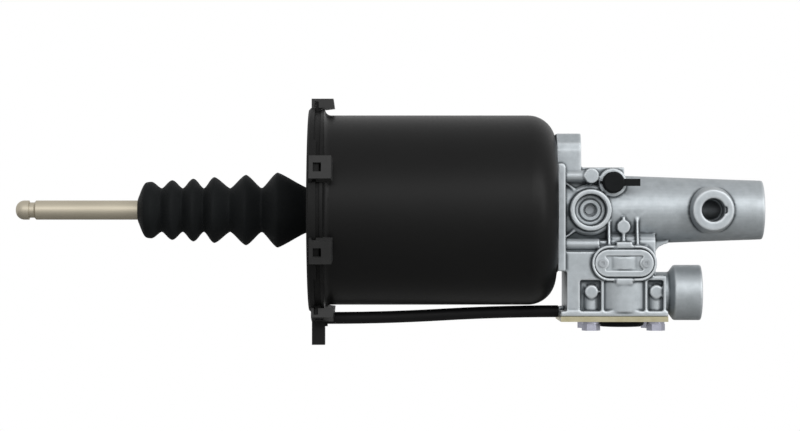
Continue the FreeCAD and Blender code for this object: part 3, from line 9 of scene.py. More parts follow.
import bmesh
import bpy
import numpy as np
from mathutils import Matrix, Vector

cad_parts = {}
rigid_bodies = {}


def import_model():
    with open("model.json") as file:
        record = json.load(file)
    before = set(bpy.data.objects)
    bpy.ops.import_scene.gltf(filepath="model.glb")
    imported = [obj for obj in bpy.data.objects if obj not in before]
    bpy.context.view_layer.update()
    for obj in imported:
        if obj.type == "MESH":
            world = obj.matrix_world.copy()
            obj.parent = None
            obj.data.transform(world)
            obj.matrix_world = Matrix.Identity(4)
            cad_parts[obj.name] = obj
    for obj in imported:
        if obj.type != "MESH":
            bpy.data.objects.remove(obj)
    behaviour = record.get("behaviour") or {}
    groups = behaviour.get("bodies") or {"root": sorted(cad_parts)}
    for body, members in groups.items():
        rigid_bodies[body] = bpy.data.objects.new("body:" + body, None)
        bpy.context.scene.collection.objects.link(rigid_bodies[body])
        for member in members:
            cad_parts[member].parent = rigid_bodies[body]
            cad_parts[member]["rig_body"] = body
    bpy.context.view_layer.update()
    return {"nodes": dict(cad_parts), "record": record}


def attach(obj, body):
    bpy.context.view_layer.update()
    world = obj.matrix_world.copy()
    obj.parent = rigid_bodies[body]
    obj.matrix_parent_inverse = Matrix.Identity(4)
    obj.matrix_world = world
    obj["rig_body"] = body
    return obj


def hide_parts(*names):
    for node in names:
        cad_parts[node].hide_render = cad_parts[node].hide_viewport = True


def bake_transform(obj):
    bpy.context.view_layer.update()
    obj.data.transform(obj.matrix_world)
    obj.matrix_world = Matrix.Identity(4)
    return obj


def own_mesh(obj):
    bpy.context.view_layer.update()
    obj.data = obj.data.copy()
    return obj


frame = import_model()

MM = 0.001
# Points of a copied CAD mesh that lie closer than this, in metres, are one point
MERGE = 1e-6
# Noise of the soft patches and of the fine grain in every finish
PATCH_NOISE = {"Detail": 3.0, "Roughness": 0.55}
GRAIN_NOISE = {"Detail": 2.0, "Roughness": 0.6}
# How strongly the grain joins the patches in the tone, and the stretch of noise that the two
# tones and the two ends of the gloss are spread over
GRAIN_IN_TONE = 0.45
TONE_STRETCH = {"From Min": 0.45, "From Max": 1.0}
GLOSS_STRETCH = {"From Min": 0.3, "From Max": 0.7}
# The six faces of a box whose corners are numbered by low or high X, side and radius
BOX_SIDES = np.array([[2, 3, 1, 0], [5, 7, 6, 4], [1, 5, 4, 0],
                      [6, 7, 3, 2], [4, 6, 2, 0], [3, 7, 5, 1]])
LOG = logging.getLogger("clutch_servo")


def linear(code: str) -> tuple[float, float, float, float]:
    """Turn an sRGB hex colour into linear light.

    Args:
        code: six hex digits, such as "a9afb3".

    Returns:
        Red, green, blue and alpha for a shader socket.
    """
    parts = [int(code[k:k + 2], 16) / 255 for k in (0, 2, 4)]
    light = [c / 12.92 if c <= 0.04045 else ((c + 0.055) / 1.055) ** 2.4 for c in parts]
    return (light[0], light[1], light[2], 1.0)


def add_node(tree: bpy.types.NodeTree, kind: str, settings: dict | None = None,
             links: dict | None = None) -> bpy.types.Node:
    """Add one node with its settings and links.

    Args:
        tree: the tree that gets the node.
        kind: the node's type name.
        settings: values by attribute name, or by input name or number.
        links: output sockets by the input name or number that they feed.

    Returns:
        The new node.
    """
    made = tree.nodes.new(kind)
    for name, value in (settings or {}).items():
        if isinstance(name, str) and hasattr(made, name):
            setattr(made, name, value)
        else:
            made.inputs[name].default_value = value
    for name, socket in (links or {}).items():
        tree.links.new(socket, made.inputs[name])
    return made


class Way(Enum):
    """The direction in which a surface was worked, as stretches of its pattern."""

    EVEN = (1.0, 1.0, 1.0)
    TURNED = (1.0, 0.06, 0.06)
    DRAWN = (0.04, 1.0, 1.0)
    ROLLED = (0.08, 1.0, 1.0)


@dataclass(frozen=True)
class Finish:
    """One real finish: what the piece is made of and how its surface was made.

    It has two tones, a fine grain with its size and relief in millimetres, soft patches with
    their size in millimetres, and, where it has them, a colour of painted shade for its
    corners and a colour of painted highlight for its edges.
    """

    name: str
    colour: str
    worn: str
    metallic: float
    roughness: float
    spread: float
    grain: float
    relief: float
    patch: float = 18.0
    specular: float = 0.5
    way: Way = Way.EVEN
    # Colours of the painted shade in hollows and of the painted highlight along edges
    hollow_shade: str | None = None
    edges: str | None = None

    def material(self) -> bpy.types.Material:
        """Make the shader: two tones in soft patches, a grain in relief, gloss that varies, and
        painted shade in hollows and painted highlight on edges where the finish has them.

        Returns:
            The new material.
        """
        made = bpy.data.materials.new(self.name)
        made.use_nodes = True
        tree = made.node_tree
        tree.nodes.clear()
        place = add_node(tree, "ShaderNodeTexCoord")
        stretch = add_node(tree, "ShaderNodeMapping", {"Scale": self.way.value},
                           {"Vector": place.outputs["Object"]})
        patches = add_node(tree, "ShaderNodeTexNoise",
                           {"Scale": 1 / (self.patch * MM)} | PATCH_NOISE,
                           {"Vector": place.outputs["Object"]})
        grain = add_node(tree, "ShaderNodeTexNoise",
                         {"Scale": 1 / (self.grain * MM)} | GRAIN_NOISE,
                         {"Vector": stretch.outputs["Vector"]})
        both = add_node(tree, "ShaderNodeMath", {"operation": "MULTIPLY_ADD", 1: GRAIN_IN_TONE},
                        {0: grain.outputs["Fac"], 2: patches.outputs["Fac"]})
        share = add_node(tree, "ShaderNodeMapRange", TONE_STRETCH | {"To Min": 0.0, "To Max": 1.0},
                         {"Value": both.outputs["Value"]})
        tone = add_node(tree, "ShaderNodeMix",
                        {"data_type": "RGBA", 6: linear(self.colour), 7: linear(self.worn)},
                        {0: share.outputs["Result"]})
        colour = tone.outputs[2]
        # Painted shade in the hollows and painted highlight along the edges, read from the piece's
        # own attributes
        if self.hollow_shade:
            colour = self.blend_by(tree, colour, "hollow_shade_share", self.hollow_shade)
        if self.edges:
            colour = self.blend_by(tree, colour, "edge", self.edges)
        gloss = add_node(tree, "ShaderNodeMapRange",
                         GLOSS_STRETCH | {"To Min": self.roughness - self.spread,
                                          "To Max": self.roughness + self.spread},
                         {"Value": grain.outputs["Fac"]})
        bump = add_node(tree, "ShaderNodeBump", {"Strength": 1.0, "Distance": self.relief * MM},
                        {"Height": grain.outputs["Fac"]})
        shader = add_node(tree, "ShaderNodeBsdfPrincipled",
                          {"Metallic": self.metallic, "Specular IOR Level": self.specular},
                          {"Base Color": colour, "Roughness": gloss.outputs["Result"],
                           "Normal": bump.outputs["Normal"]})
        add_node(tree, "ShaderNodeOutputMaterial", {}, {"Surface": shader.outputs["BSDF"]})
        return made

    @staticmethod
    def blend_by(tree: bpy.types.NodeTree, colour: bpy.types.NodeSocket, attribute: str,
                 code: str) -> bpy.types.NodeSocket:
        """Blend towards another colour where the piece's own attribute says so.

        Args:
            tree: the material's tree.
            colour: the colour so far.
            attribute: the attribute's name; 0 keeps the colour and 1 replaces it.
            code: sRGB hex of the other colour.

        Returns:
            The blended colour.
        """
        share = add_node(tree, "ShaderNodeAttribute", {"attribute_name": attribute})
        mixed = add_node(tree, "ShaderNodeMix", {"data_type": "RGBA", 7: linear(code)},
                         {0: share.outputs["Fac"], 6: colour})
        return mixed.outputs[2]


# Nickel-plated drawn steel: a warm, fairly bright metal, satin all over
ROD = Finish("nickel_plated_steel_drawn", "b2ab9b", "aca595", 1.0, 0.54, 0.02, 0.9, 0.0003,
             patch=30.0, way=Way.DRAWN)
# Ground and hardened steel: a cool bright metal with fine rings
GROUND = Finish("ground_steel", "b9b9b8", "a6a6a6", 1.0, 0.22, 0.05, 0.3, 0.001, way=Way.TURNED)
# Oil-tempered spring wire: dark, a little bright along its drawn surface
SPRING = Finish("oil_tempered_spring_wire", "5c5b59", "474644", 1.0, 0.42, 0.08, 0.6, 0.003)
# Moulded natural rubber: matt black with a faint bloom and the grain of the mould
RUBBER = Finish("moulded_rubber", "121415", "191b1c", 0.0, 0.74, 0.08, 0.5, 0.012,
                patch=12.0, specular=0.12)
# Extruded rubber hose: matt black, smooth along its length
HOSE = Finish("extruded_rubber_hose", "0e0e0f", "161617", 0.0, 0.58, 0.08, 0.5, 0.006,
              patch=14.0, specular=0.15, way=Way.DRAWN)
# Glass-filled nylon, moulded: satin black, with short fibres in its skin
NYLON = Finish("moulded_glass_filled_nylon", "121212", "181818", 0.0, 0.55, 0.1, 0.45, 0.010,
               patch=16.0, specular=0.13)
# Zinc-flake coated spring sheet: a little lighter than the parts around it
CLIP = Finish("zinc_flake_coated_sheet", "2b2b2b", "333333", 0.0, 0.5, 0.08, 0.4, 0.005,
              patch=10.0, specular=0.25)
# Powder-coated deep-drawn sheet: satin black, very even
CAN = Finish("powder_coated_sheet", "121212", "161616", 0.0, 0.42, 0.05, 0.9, 0.006,
             patch=40.0, specular=0.12)
# Die-cast aluminium, shot-blasted: matt grey with a sandy grain, with painted shade in its
# corners and painted highlight along its edges
CAST = Finish("die_cast_aluminium_shot_blasted", "999fa3", "abb1b5", 0.5, 0.47, 0.08, 0.5, 0.09,
              patch=5.0, specular=0.3, hollow_shade="2e3438", edges="d6dbde")
# Turned aluminium: pale metal with rings
TURNED = Finish("turned_aluminium", "b4b6b8", "a2a4a6", 1.0, 0.33, 0.07, 0.3, 0.002,
                way=Way.TURNED)
# Sintered bronze: brown-gold and slightly porous
BRONZE = Finish("sintered_bronze", "a6794a", "8f6439", 1.0, 0.42, 0.08, 0.4, 0.006)
# Moulded acetal: off-white and waxy
ACETAL = Finish("moulded_acetal", "cfc6ab", "c0b697", 0.0, 0.42, 0.05, 0.8, 0.004)
# Yellow-chromated zinc on rolled steel sheet: pale yellow-green metal with a soft bloom
PLATE = Finish("yellow_chromated_zinc", "a8a38b", "958f74", 1.0, 0.42, 0.08, 0.5, 0.004,
               patch=7.0, way=Way.ROLLED)
# Blue-passivated zinc on forged bolts: cool, slightly violet grey
BOLT = Finish("blue_passivated_zinc", "a6a7b4", "8f909c", 1.0, 0.36, 0.08, 0.4, 0.004, patch=5.0)
# Zinc alloy, tumbled: plain pale grey, a little darker where it was pressed
PRESSED = Finish("tumbled_zinc_alloy", "a4a9ad", "94999d", 0.5, 0.46, 0.06, 0.5, 0.004, patch=4.0)

# Nodes whose finish differs from the one of their material slot
NODE_FINISH = {
    "vent_tube": HOSE,
    "port_sleeve": CAST,
    "port_pin": PRESSED,
    "cover_screws": PRESSED,
    "base_washers": BOLT,
}

SLOT_FINISH = {
    "rod_steel": ROD,
    "ground_steel": GROUND,
    "spring_steel": SPRING,
    "black_rubber": RUBBER,
    "cover_black": NYLON,
    "clip_black": CLIP,
    "can_black": CAN,
    "cast_aluminium": CAST,
    "turned_aluminium": TURNED,
    "bush_bronze": BRONZE,
    "pale_plastic": ACETAL,
    "zinc_plate": PLATE,
    "zinc_bolt": BOLT,
}


@dataclass
class Paints:
    """The materials made so far, one for each finish."""

    made: dict[str, bpy.types.Material] = field(default_factory=dict)

    def get(self, finish: Finish) -> bpy.types.Material:
        """Find the material of a finish, which is made once.

        Args:
            finish: the finish.

        Returns:
            Its material.
        """
        if finish.name not in self.made:
            self.made[finish.name] = finish.material()
        return self.made[finish.name]

    def dress(self, item: bpy.types.Object, finish: Finish) -> None:
        """Give a piece one finish all over."""
        item.data.materials.clear()
        item.data.materials.append(self.get(finish))


def mesh_piece(name: str, points: np.ndarray, faces: np.ndarray, smooth: float = 35.0
               ) -> bpy.types.Object:
    """A piece from points and faces, smooth except over sharp edges.

    Args:
        name: the piece's name.
        points: corners in metres, one row each.
        faces: corner numbers, four to a row; a triangle repeats its last corner.
        smooth: edges that turn by more than this many degrees stay sharp.

    Returns:
        The new object, linked to the scene.
    """
    rows = [tuple(dict.fromkeys(int(c) for c in row)) for row in faces]
    mesh = bpy.data.meshes.new(name)
    mesh.from_pydata(points.tolist(), [], [row for row in rows if len(row) > 2])
    mesh.update()
    mesh.shade_smooth()
    mesh.set_sharp_from_angle(angle=math.radians(smooth))
    item = bpy.data.objects.new(name, mesh)
    bpy.context.scene.collection.objects.link(item)
    return item


def rounded_line(points: np.ndarray, rounds: int) -> np.ndarray:
    """Round a closed line's corners by cutting each of them again and again.

    Each pass replaces a corner by the points at a quarter and three quarters of its two runs.

    Args:
        points: the corners, one row each, with the last joined to the first.
        rounds: how many passes.

    Returns:
        The rounded line's points.
    """
    for _ in range(rounds):
        after = np.roll(points, -1, axis=0)
        near = 0.75 * points + 0.25 * after
        far = 0.25 * points + 0.75 * after
        points = np.stack([near, far], axis=1).reshape(-1, points.shape[1])
    return points


def turned_surface(profile: np.ndarray, steps: int) -> tuple[np.ndarray, np.ndarray]:
    """Turn a closed profile about the X axis.

    A point at place x and radius r goes to (x, r cos a, r sin a) for each angle a of the turn.

    Args:
        profile: place and radius, one row each, with the last joined to the first.
        steps: how many angles make the whole turn.

    Returns:
        The points and the four-cornered faces, which point outwards for a profile that runs
        from small x to large x on its outer side.
    """
    angle = np.linspace(0, 2 * math.pi, steps, endpoint=False)
    place, turn = np.meshgrid(profile[:, 0], angle, indexing="ij")
    radius = np.repeat(profile[:, 1][:, None], steps, axis=1)
    points = np.stack([place, radius * np.cos(turn), radius * np.sin(turn)], axis=-1)
    count = len(profile)
    k, j = np.meshgrid(np.arange(count), np.arange(steps), indexing="ij")
    k_next, j_next = (k + 1) % count, (j + 1) % steps
    faces = np.stack([k * steps + j, k * steps + j_next, k_next * steps + j_next,
                      k_next * steps + j], axis=-1)
    return points.reshape(-1, 3), faces.reshape(-1, 4)


@dataclass
class Boot:
    """The rubber bellows between the push rod and the cover.

    Places run along X in millimetres from the cover's mounting face, and the tip is in front.
    """

    length: float = 107.0
    first_fold: float = 8.2
    pitches: tuple[float, ...] = (13.15, 13.15, 13.15, 19.75, 19.75)
    small_peak: float = 18.0
    large_peak: float = 23.7
    peak_flat: float = 1.3
    peak_sink: float = 0.3
    valley: float = 13.7
    valley_flat: float = 0.8
    wall: float = 1.9
    peak_wall: float = 2.7
    rod: float = 6.05
    tip_inside: float = 5.0
    tip_corners: tuple[tuple[float, float], ...] = (
        (0.0, 7.25), (0.9, 9.3), (2.4, 13.3), (4.4, 17.1))
    neck: float = 14.2
    neck_outside: tuple[float, float, float] = (-1.8, 0.4, 6.8)
    neck_inside: float = -1.2
    rounds: int = 2
    steps: int = 128
    sharp: float = 60.0
    still: tuple[float, float, float] = (0.004, 0, 0)
    moving: tuple[float, float, float] = (-0.111, 0, 0)

    def profile(self) -> np.ndarray:
        """Draw the outer line from the rod to the cover, then the inner line back.

        The folds' peaks grow evenly from the first to the last, with a valley halfway between
        each two of them.

        Returns:
            Place and radius of each corner, one row each.
        """
        start = -self.length
        folds = start + self.first_fold + np.cumsum((0.0,) + self.pitches)
        share = (folds - folds[0]) / (folds[-1] - folds[0])
        peaks = self.small_peak + (self.large_peak - self.small_peak) * share
        valleys = (folds[1:] + folds[:-1]) / 2
        outer = [(start + place, radius) for place, radius in self.tip_corners]
        inner = []
        for k, (place, peak) in enumerate(zip(folds, peaks)):
            outer += [(place - self.peak_flat, peak - self.peak_sink),
                      (place + self.peak_flat, peak - self.peak_sink)]
            inner.append((place, peak - self.peak_wall))
            if k < len(valleys):
                outer += [(valleys[k] - self.valley_flat, self.valley),
                          (valleys[k] + self.valley_flat, self.valley)]
                inner.append((valleys[k], self.valley - self.wall))
        slope, neck_start, neck_end = self.neck_outside
        outer += [(slope, self.valley), (neck_start, self.neck), (neck_end, self.neck)]
        back = [(neck_end, self.neck - self.wall), (self.neck_inside, self.valley - self.wall)]
        tip = [(start + self.tip_inside, self.rod), (start, self.rod)]
        return np.array(outer + back + inner[::-1] + tip)

    def build(self, paints: Paints) -> bpy.types.Object:
        """Turn the rounded profile, which stands between the cover and the rod.

        Args:
            paints: the materials.

        Returns:
            The bellows.
        """
        line = rounded_line(self.profile(), self.rounds) * MM
        points, faces = turned_surface(line, self.steps)
        boot = mesh_piece("boot_bellows", points, faces[:, ::-1], smooth=self.sharp)
        paints.dress(boot, RUBBER)
        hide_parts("boot")
        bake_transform(boot)
        return boot


def prism(outline: np.ndarray, near: float, far: float) -> tuple[np.ndarray, np.ndarray]:
    """A solid with the same outline from its front to its back.

    The outline's points (x, z) stand at y = near and again at y = far. Each end is a fan of
    triangles about the outline's middle.

    Args:
        outline: X and Z, one row each, counter-clockwise as seen from the front.
        near: Y of the front end.
        far: Y of the back end.

    Returns:
        The points and the faces, which point outwards.
    """
    count = len(outline)
    middle = outline.mean(axis=0)
    flat = np.vstack([outline, middle])
    points = np.concatenate([np.insert(flat, 1, near, axis=1), np.insert(flat, 1, far, axis=1)])
    k = np.arange(count)
    after = (k + 1) % count
    back = count + 1
    front_cap = np.stack([k, after, np.full(count, count), np.full(count, count)], axis=1)
    back_cap = np.stack([after + back, k + back, np.full(count, count + back),
                         np.full(count, count + back)], axis=1)
    sides = np.stack([k, k + back, after + back, after], axis=1)
    return points, np.concatenate([front_cap, back_cap, sides])


@dataclass
class ClipPads:
    """Raised pads of the cover that fill the snap clips from within."""

    angles: tuple[float, ...] = (0.0, 68.1, 111.9, 168.0, 192.0, 248.1, 291.9)
    start: float = 3.7
    end: float = 7.6
    half_width: float = 6.0
    foot: float = 61.0
    top: float = 67.2

    def build(self, paints: Paints) -> bpy.types.Object:
        """Turn one box about the X axis to each clip, from straight up towards the front.

        A corner at side s and radius r goes to y = -r sin a - s cos a and z = r cos a - s sin a
        for each clip's angle a.

        Args:
            paints: the materials.

        Returns:
            The pads, as one piece.
        """
        x, side, radius = np.meshgrid([self.start, self.end], [-self.half_width, self.half_width],
                                      [self.foot, self.top], indexing="ij")
        turn = np.radians(self.angles)[:, None]
        across, out = side.reshape(1, -1), radius.reshape(1, -1)
        points = np.stack([np.repeat(x.reshape(1, -1), len(turn), axis=0),
                           -out * np.sin(turn) - across * np.cos(turn),
                           out * np.cos(turn) - across * np.sin(turn)], axis=-1).reshape(-1, 3)
        first = x.size * np.arange(len(turn))[:, None, None]
        faces = (BOX_SIDES[None] + first).reshape(-1, 4)
        pads = mesh_piece("cover_clip_pads", points * MM, faces)
        paints.dress(pads, NYLON)
        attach(pads, "servo_body")
        return pads


@dataclass(frozen=True)
class Search:
    """How hollows that get painted shade, or edges that get a painted highlight, of one width are
    found.

    It holds how many rounds of averaging there are, the lift in millimetres that counts as a
    full one, and how much of the painted shade or painted highlight colour a full one gets.
    """

    rounds: int
    full: float
    share: float


@dataclass
class Casting:
    """The die-cast housing with the small radii of its mould on every edge and corner."""

    node: str = "housing"
    pad_centre: tuple[float, float] = (174.4, 21.1)
    pad_radius: float = 4.6
    pad_front: float = -27.9
    pad_back: float = -14.0
    root_corner: tuple[float, float] = (214.3, -20.7)
    root_radius: float = 9.0
    root_half_width: float = 9.0
    root_overlap: float = 3.5
    pad_steps: int = 48
    root_steps: int = 12
    voxel: float = 0.62
    passes: int = 3
    # Hollows at two widths get painted shade, and edges get a painted highlight
    narrow: Search = Search(3, 0.11, 0.85)
    wide: Search = Search(16, 1.6, 0.2)
    edge: Search = Search(3, 0.16, 0.5)
    triangles: int = 190_000

    def build(self, paints: Paints) -> bpy.types.Object:
        """Copy the solid, close it to a fine even mesh and relax it, which rounds each edge.

        Painted shade for the hollows and painted highlight for the edges are marked on the even
        mesh, which then loses the points that its flat parts can spare.

        Args:
            paints: the materials.

        Returns:
            The casting, which takes the CAD node's place.
        """
        mesh = frame["nodes"][self.node].data.copy()
        casting = bpy.data.objects.new(f"{self.node}_casting", mesh)
        bpy.context.scene.collection.objects.link(casting)
        for points, faces in self.details():
            self.add(casting.data, points, faces)
        weld = casting.modifiers.new("weld", "WELD")
        weld.merge_threshold = MERGE
        even = casting.modifiers.new("even", "REMESH")
        even.mode = "VOXEL"
        even.voxel_size = self.voxel * MM
        relax = casting.modifiers.new("relax", "SMOOTH")
        relax.factor = 0.5
        relax.iterations = self.passes
        self.apply(casting)
        self.mark_shade_and_highlight(casting.data)
        thin = casting.modifiers.new("thin", "DECIMATE")
        now = len(casting.data.loops) - 2 * len(casting.data.polygons)
        thin.ratio = min(1.0, self.triangles / now)
        self.apply(casting)
        casting.data.shade_smooth()
        paints.dress(casting, CAST)
        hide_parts(self.node)
        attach(casting, "servo_body")
        return casting

    def details(self) -> list[tuple[np.ndarray, np.ndarray]]:
        """The small solids that join the piece before it is closed."""
        return [self.shelf_pad(), self.tube_root()]

    def shelf_pad(self) -> tuple[np.ndarray, np.ndarray]:
        """The round pad over the end of the upper screw boss: a circle, drawn backwards.

        Returns:
            The points and the faces.
        """
        turn = np.linspace(0, 2 * math.pi, self.pad_steps, endpoint=False)
        circle = np.array(self.pad_centre) + self.pad_radius * np.stack(
            [np.cos(turn), np.sin(turn)], axis=1)
        return prism(circle, self.pad_front, self.pad_back)

    def tube_root(self) -> tuple[np.ndarray, np.ndarray]:
        """The hollow radius between the block's side and the underside of the tube.

        A quarter circle about a point to the right and below runs from the block's side to the
        tube, and the corner behind it closes the outline inside both of them.

        Returns:
            The points and the faces.
        """
        x, z = self.root_corner
        turn = np.linspace(math.pi, math.pi / 2, self.root_steps)
        middle = np.array([x + self.root_radius, z - self.root_radius])
        hollow = middle + self.root_radius * np.stack([np.cos(turn), np.sin(turn)], axis=1)
        deep = self.root_overlap
        inside = np.array([[x + self.root_radius, z + deep], [x - deep, z + deep],
                           [x - deep, z - self.root_radius]])
        outline = np.concatenate([hollow, inside])[::-1]
        return prism(outline, -self.root_half_width, self.root_half_width)

    @staticmethod
    def add(mesh: bpy.types.Mesh, points: np.ndarray, faces: np.ndarray) -> None:
        """Add a closed solid, given in millimetres, to the casting before it is closed.

        Args:
            mesh: the casting so far.
            points: corners of the solid.
            faces: corner numbers, four to a row; a triangle repeats its last corner.
        """
        extra = mesh_piece("casting_detail", points * MM, faces)
        both = bmesh.new()
        both.from_mesh(mesh)
        both.from_mesh(extra.data)
        both.to_mesh(mesh)
        both.free()
        bpy.data.meshes.remove(extra.data)

    def mark_shade_and_highlight(self, mesh: bpy.types.Mesh) -> None:
        """Store how deep each point lies in a corner, and how far out it stands on an edge, as
        shares of painted shade and painted highlight.

        The points are averaged with their neighbours again and again. Where that lifts a point
        out along its normal, the surface was hollow there, and where it sinks, the surface
        stood out. The lift, as a share of a full one, is how much painted shade the hollow gets,
        and the sinking is how much painted highlight the edge gets. A few rounds find the fine
        lines, and more rounds find the wide corners.

        Args:
            mesh: the even mesh, which gets the two attributes.
        """
        count = len(mesh.vertices)
        points = np.empty(count * 3)
        normals = np.empty(count * 3)
        ends = np.empty(len(mesh.edges) * 2, dtype=np.int64)
        mesh.vertices.foreach_get("co", points)
        mesh.vertices.foreach_get("normal", normals)
        mesh.edges.foreach_get("vertices", ends)
        ends = ends.reshape(-1, 2)
        net = (points.reshape(-1, 3), normals.reshape(-1, 3),
               np.concatenate([ends, ends[:, ::-1]]))
        # Share of painted shade in the hollows, and of painted highlight on the edges
        hollow_shade_share = np.maximum(np.clip(self.lift(*net, self.narrow), 0.0, self.narrow.share),
                            np.clip(self.lift(*net, self.wide), 0.0, self.wide.share))
        edge = np.clip(-self.lift(*net, self.edge), 0.0, self.edge.share)
        for name, values in (("hollow_shade_share", hollow_shade_share), ("edge", edge)):
            mesh.attributes.new(name, "FLOAT", "POINT").data.foreach_set("value", values)

    @staticmethod
    def lift(points: np.ndarray, normals: np.ndarray, ends: np.ndarray, search: Search
             ) -> np.ndarray:
        """Average the points with their neighbours and see how far each of them moves out.

        Args:
            points: the mesh's points, one row each.
            normals: the direction outwards at each point.
            ends: the two points of each edge, once in each direction.
            search: the rounds, the full lift and its share.

        Returns:
            The way out along the normal, as a share of a full lift.
        """
        near = np.bincount(ends[:, 0], minlength=len(points))[:, None]
        soft = points
        for _ in range(search.rounds):
            soft = np.stack([np.bincount(ends[:, 0], soft[ends[:, 1], axis], len(points))
                             for axis in range(3)], axis=1) / near
        moved = ((soft - points) * normals).sum(axis=1)
        return search.share * moved / (search.full * MM)

    @staticmethod
    def apply(item: bpy.types.Object) -> None:
        """Make the modifiers' result the piece's own mesh.

        Args:
            item: the piece with its modifiers.
        """
        graph = bpy.context.evaluated_depsgraph_get()
        final = bpy.data.meshes.new_from_object(item.evaluated_get(graph))
        item.modifiers.clear()
        item.data = final


@dataclass
class OvalCasting(Casting):
    """The oval cover, on a mesh of half the size, so that its thin rim stays whole."""

    node: str = "oval_cover"
    voxel: float = 0.31
    passes: int = 6
    # Hollows get painted shade and edges a painted highlight, found over the finer mesh
    narrow: Search = Search(12, 0.075, 0.9)
    wide: Search = Search(48, 1.6, 0.2)
    edge: Search = Search(12, 0.16, 0.5)
    triangles: int = 90_000

    def details(self) -> list[tuple[np.ndarray, np.ndarray]]:
        """None: the cover's solid has them all."""
        return []


class Along(Enum):
    """The axis that a spring lies along, by its number."""

    X = 0
    Z = 2


class FixedEnd(Enum):
    """The end of a spring that stays in place, as a corner of its box."""

    LOW = 0
    HIGH = 1


@dataclass
class Spring:
    """A coil spring."""

    node: str
    joint: str
    along: Along
    fixed: FixedEnd

    def build(self, paints: Paints) -> bpy.types.Object:
        """Copy the spring with its loose triangles merged.

        Args:
            paints: the materials.

        Returns:
            The spring, which takes the CAD node's place.
        """
        source = frame["nodes"][self.node]
        coil = bpy.data.objects.new(f"{self.node}_coil", source.data.copy())
        bpy.context.scene.collection.objects.link(coil)
        whole = bmesh.new()
        whole.from_mesh(coil.data)
        bmesh.ops.remove_doubles(whole, verts=whole.verts, dist=MERGE)
        whole.to_mesh(coil.data)
        whole.free()
        paints.dress(coil, SPRING)
        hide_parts(self.node)
        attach(coil, source["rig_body"])
        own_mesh(coil)
        return coil


@dataclass(frozen=True)
class Lamp:
    """A rectangular soft box that looks at a point, with its places and sides in metres."""

    name: str
    spot: tuple[float, float, float]
    aim: tuple[float, float, float]
    sides: tuple[float, float]
    watts: float

    def build(self) -> None:
        """Hang the lamp and turn it to its point."""
        data = bpy.data.lights.new(self.name, "AREA")
        data.shape = "RECTANGLE"
        data.size, data.size_y = self.sides
        data.energy = self.watts
        item = bpy.data.objects.new(self.name, data)
        item.location = self.spot
        way = Vector(self.aim) - Vector(self.spot)
        item.rotation_euler = way.to_track_quat("-Z", "Y").to_euler()
        bpy.context.scene.collection.objects.link(item)


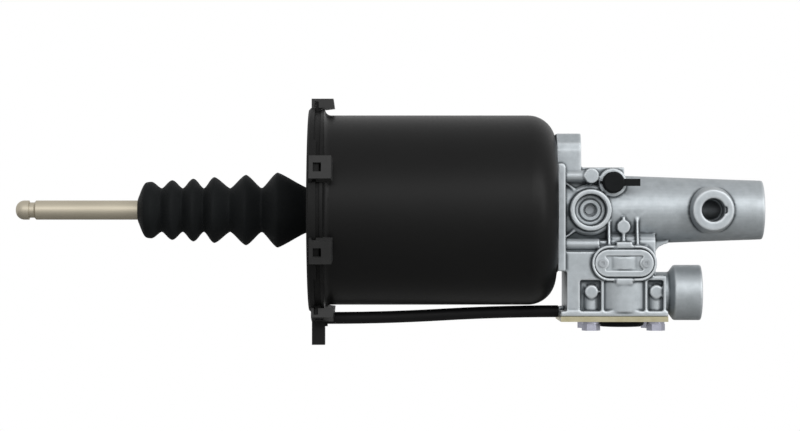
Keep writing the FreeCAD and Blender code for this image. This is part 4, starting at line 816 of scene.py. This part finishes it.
@dataclass
class Studio:
    """Camera, lamps, backdrop and floor, in metres."""

    eye: tuple[float, float, float] = (0.0566, -1.69, -0.0034)
    lens: float = 121.7
    sensor: float = 36.0
    clip: tuple[float, float] = (0.05, 20.0)
    floor_drop: float = 0.30
    floor_reach: float = 1.3
    floor_colour: str = "8c8c8b"
    floor_shown: str = "e9e9e7"
    floor_roughness: float = 0.8
    room_light: float = 0.2
    lamps: tuple[Lamp, ...] = (
        Lamp("key", (0.62, -1.05, 0.58), (0.06, 0, 0), (0.9, 0.5), 6.7),
        Lamp("front", (0.2, -1.55, 0.16), (0.16, 0, 0), (0.5, 0.3), 0.7),
        Lamp("strip", (-0.3, -1.25, 0.5), (-0.12, 0, 0), (0.5, 0.15), 2.5),
        Lamp("side", (1.0, -0.75, 0.25), (0.15, 0, 0), (0.2, 0.7), 3.0),
    )

    def camera(self) -> None:
        """Set up the photo's view: straight from the front, 1.69 m away."""
        data = bpy.data.cameras.new("camera")
        data.lens = self.lens
        data.sensor_width = self.sensor
        data.clip_start, data.clip_end = self.clip
        eye = bpy.data.objects.new("camera", data)
        eye.location = self.eye
        eye.rotation_euler = (math.radians(90), 0, 0)
        bpy.context.scene.collection.objects.link(eye)
        bpy.context.scene.camera = eye

    @staticmethod
    def shown(tree: bpy.types.NodeTree) -> bpy.types.NodeSocket:
        """One for what the camera, a reflection or a clear piece shows, and zero for plain light.

        Args:
            tree: the material's or the world's tree.

        Returns:
            The socket with that number.
        """
        ray = add_node(tree, "ShaderNodeLightPath")
        seen = add_node(tree, "ShaderNodeMath", {"operation": "MAXIMUM"},
                        {0: ray.outputs["Is Camera Ray"], 1: ray.outputs["Is Glossy Ray"]})
        shown = add_node(tree, "ShaderNodeMath", {"operation": "MAXIMUM"},
                         {0: seen.outputs["Value"], 1: ray.outputs["Is Transmission Ray"]})
        return shown.outputs["Value"]

    def world(self) -> None:
        """A soft grey room that looks white to the camera and in reflections."""
        world = bpy.data.worlds.new("studio")
        world.use_nodes = True
        tree = world.node_tree
        tree.nodes.clear()
        level = add_node(tree, "ShaderNodeMapRange", {"To Min": self.room_light, "To Max": 1.0},
                         {"Value": self.shown(tree)})
        glow = add_node(tree, "ShaderNodeBackground", {"Color": (1, 1, 1, 1)},
                        {"Strength": level.outputs["Result"]})
        add_node(tree, "ShaderNodeOutputWorld", {}, {"Surface": glow.outputs["Background"]})
        bpy.context.scene.world = world

    def floor(self) -> None:
        """A plain pale floor well below the part, which throws little light back up at it."""
        x, reach, low = self.eye[0], self.floor_reach, -self.floor_drop
        points = np.array([(x - reach, -reach, low), (x + reach, -reach, low),
                           (x + reach, reach, low), (x - reach, reach, low)])
        floor = mesh_piece("studio_floor", points, np.array([[0, 1, 2, 3]]))
        paint = bpy.data.materials.new("painted_studio_floor")
        paint.use_nodes = True
        tree = paint.node_tree
        tone = add_node(tree, "ShaderNodeMix",
                        {"data_type": "RGBA", 6: linear(self.floor_colour),
                         7: linear(self.floor_shown)},
                        {0: self.shown(tree)})
        shader = tree.nodes["Principled BSDF"]
        tree.links.new(tone.outputs[2], shader.inputs["Base Color"])
        shader.inputs["Roughness"].default_value = self.floor_roughness
        floor.data.materials.append(paint)

    def build(self) -> None:
        """Set everything up."""
        self.camera()
        self.world()
        self.floor()
        for lamp in self.lamps:
            lamp.build()
        bpy.context.scene.view_settings.view_transform = "Standard"


def dress_nodes(paints: Paints) -> None:
    """Give every CAD node the finish of its material slot, or its own.

    Args:
        paints: the materials.
    """
    for part in frame["record"]["subparts"]:
        item = frame["nodes"][part["node"]]
        paints.dress(item, NODE_FINISH.get(part["node"], SLOT_FINISH[part["material_slot"]]))


def main() -> None:
    """Build the studio, the new pieces and the finishes, in order."""
    logging.basicConfig(level=logging.INFO, format="%(message)s")
    paints = Paints()
    Studio().build()
    dress_nodes(paints)
    LOG.info("dressed %d nodes", len(frame["nodes"]))
    springs = (
        Spring("piston_spring", "rod_stroke", Along.X, FixedEnd.HIGH),
        Spring("control_spring", "control_travel", Along.Z, FixedEnd.LOW),
        Spring("valve_spring", "valve_travel", Along.Z, FixedEnd.LOW),
    )
    for sub_assembly in (Boot(), ClipPads(), Casting(), OvalCasting(), *springs):
        piece = sub_assembly.build(paints)
        LOG.info("%s: %d faces", piece.name, len(piece.data.polygons))


if __name__ == "__main__":
    main()
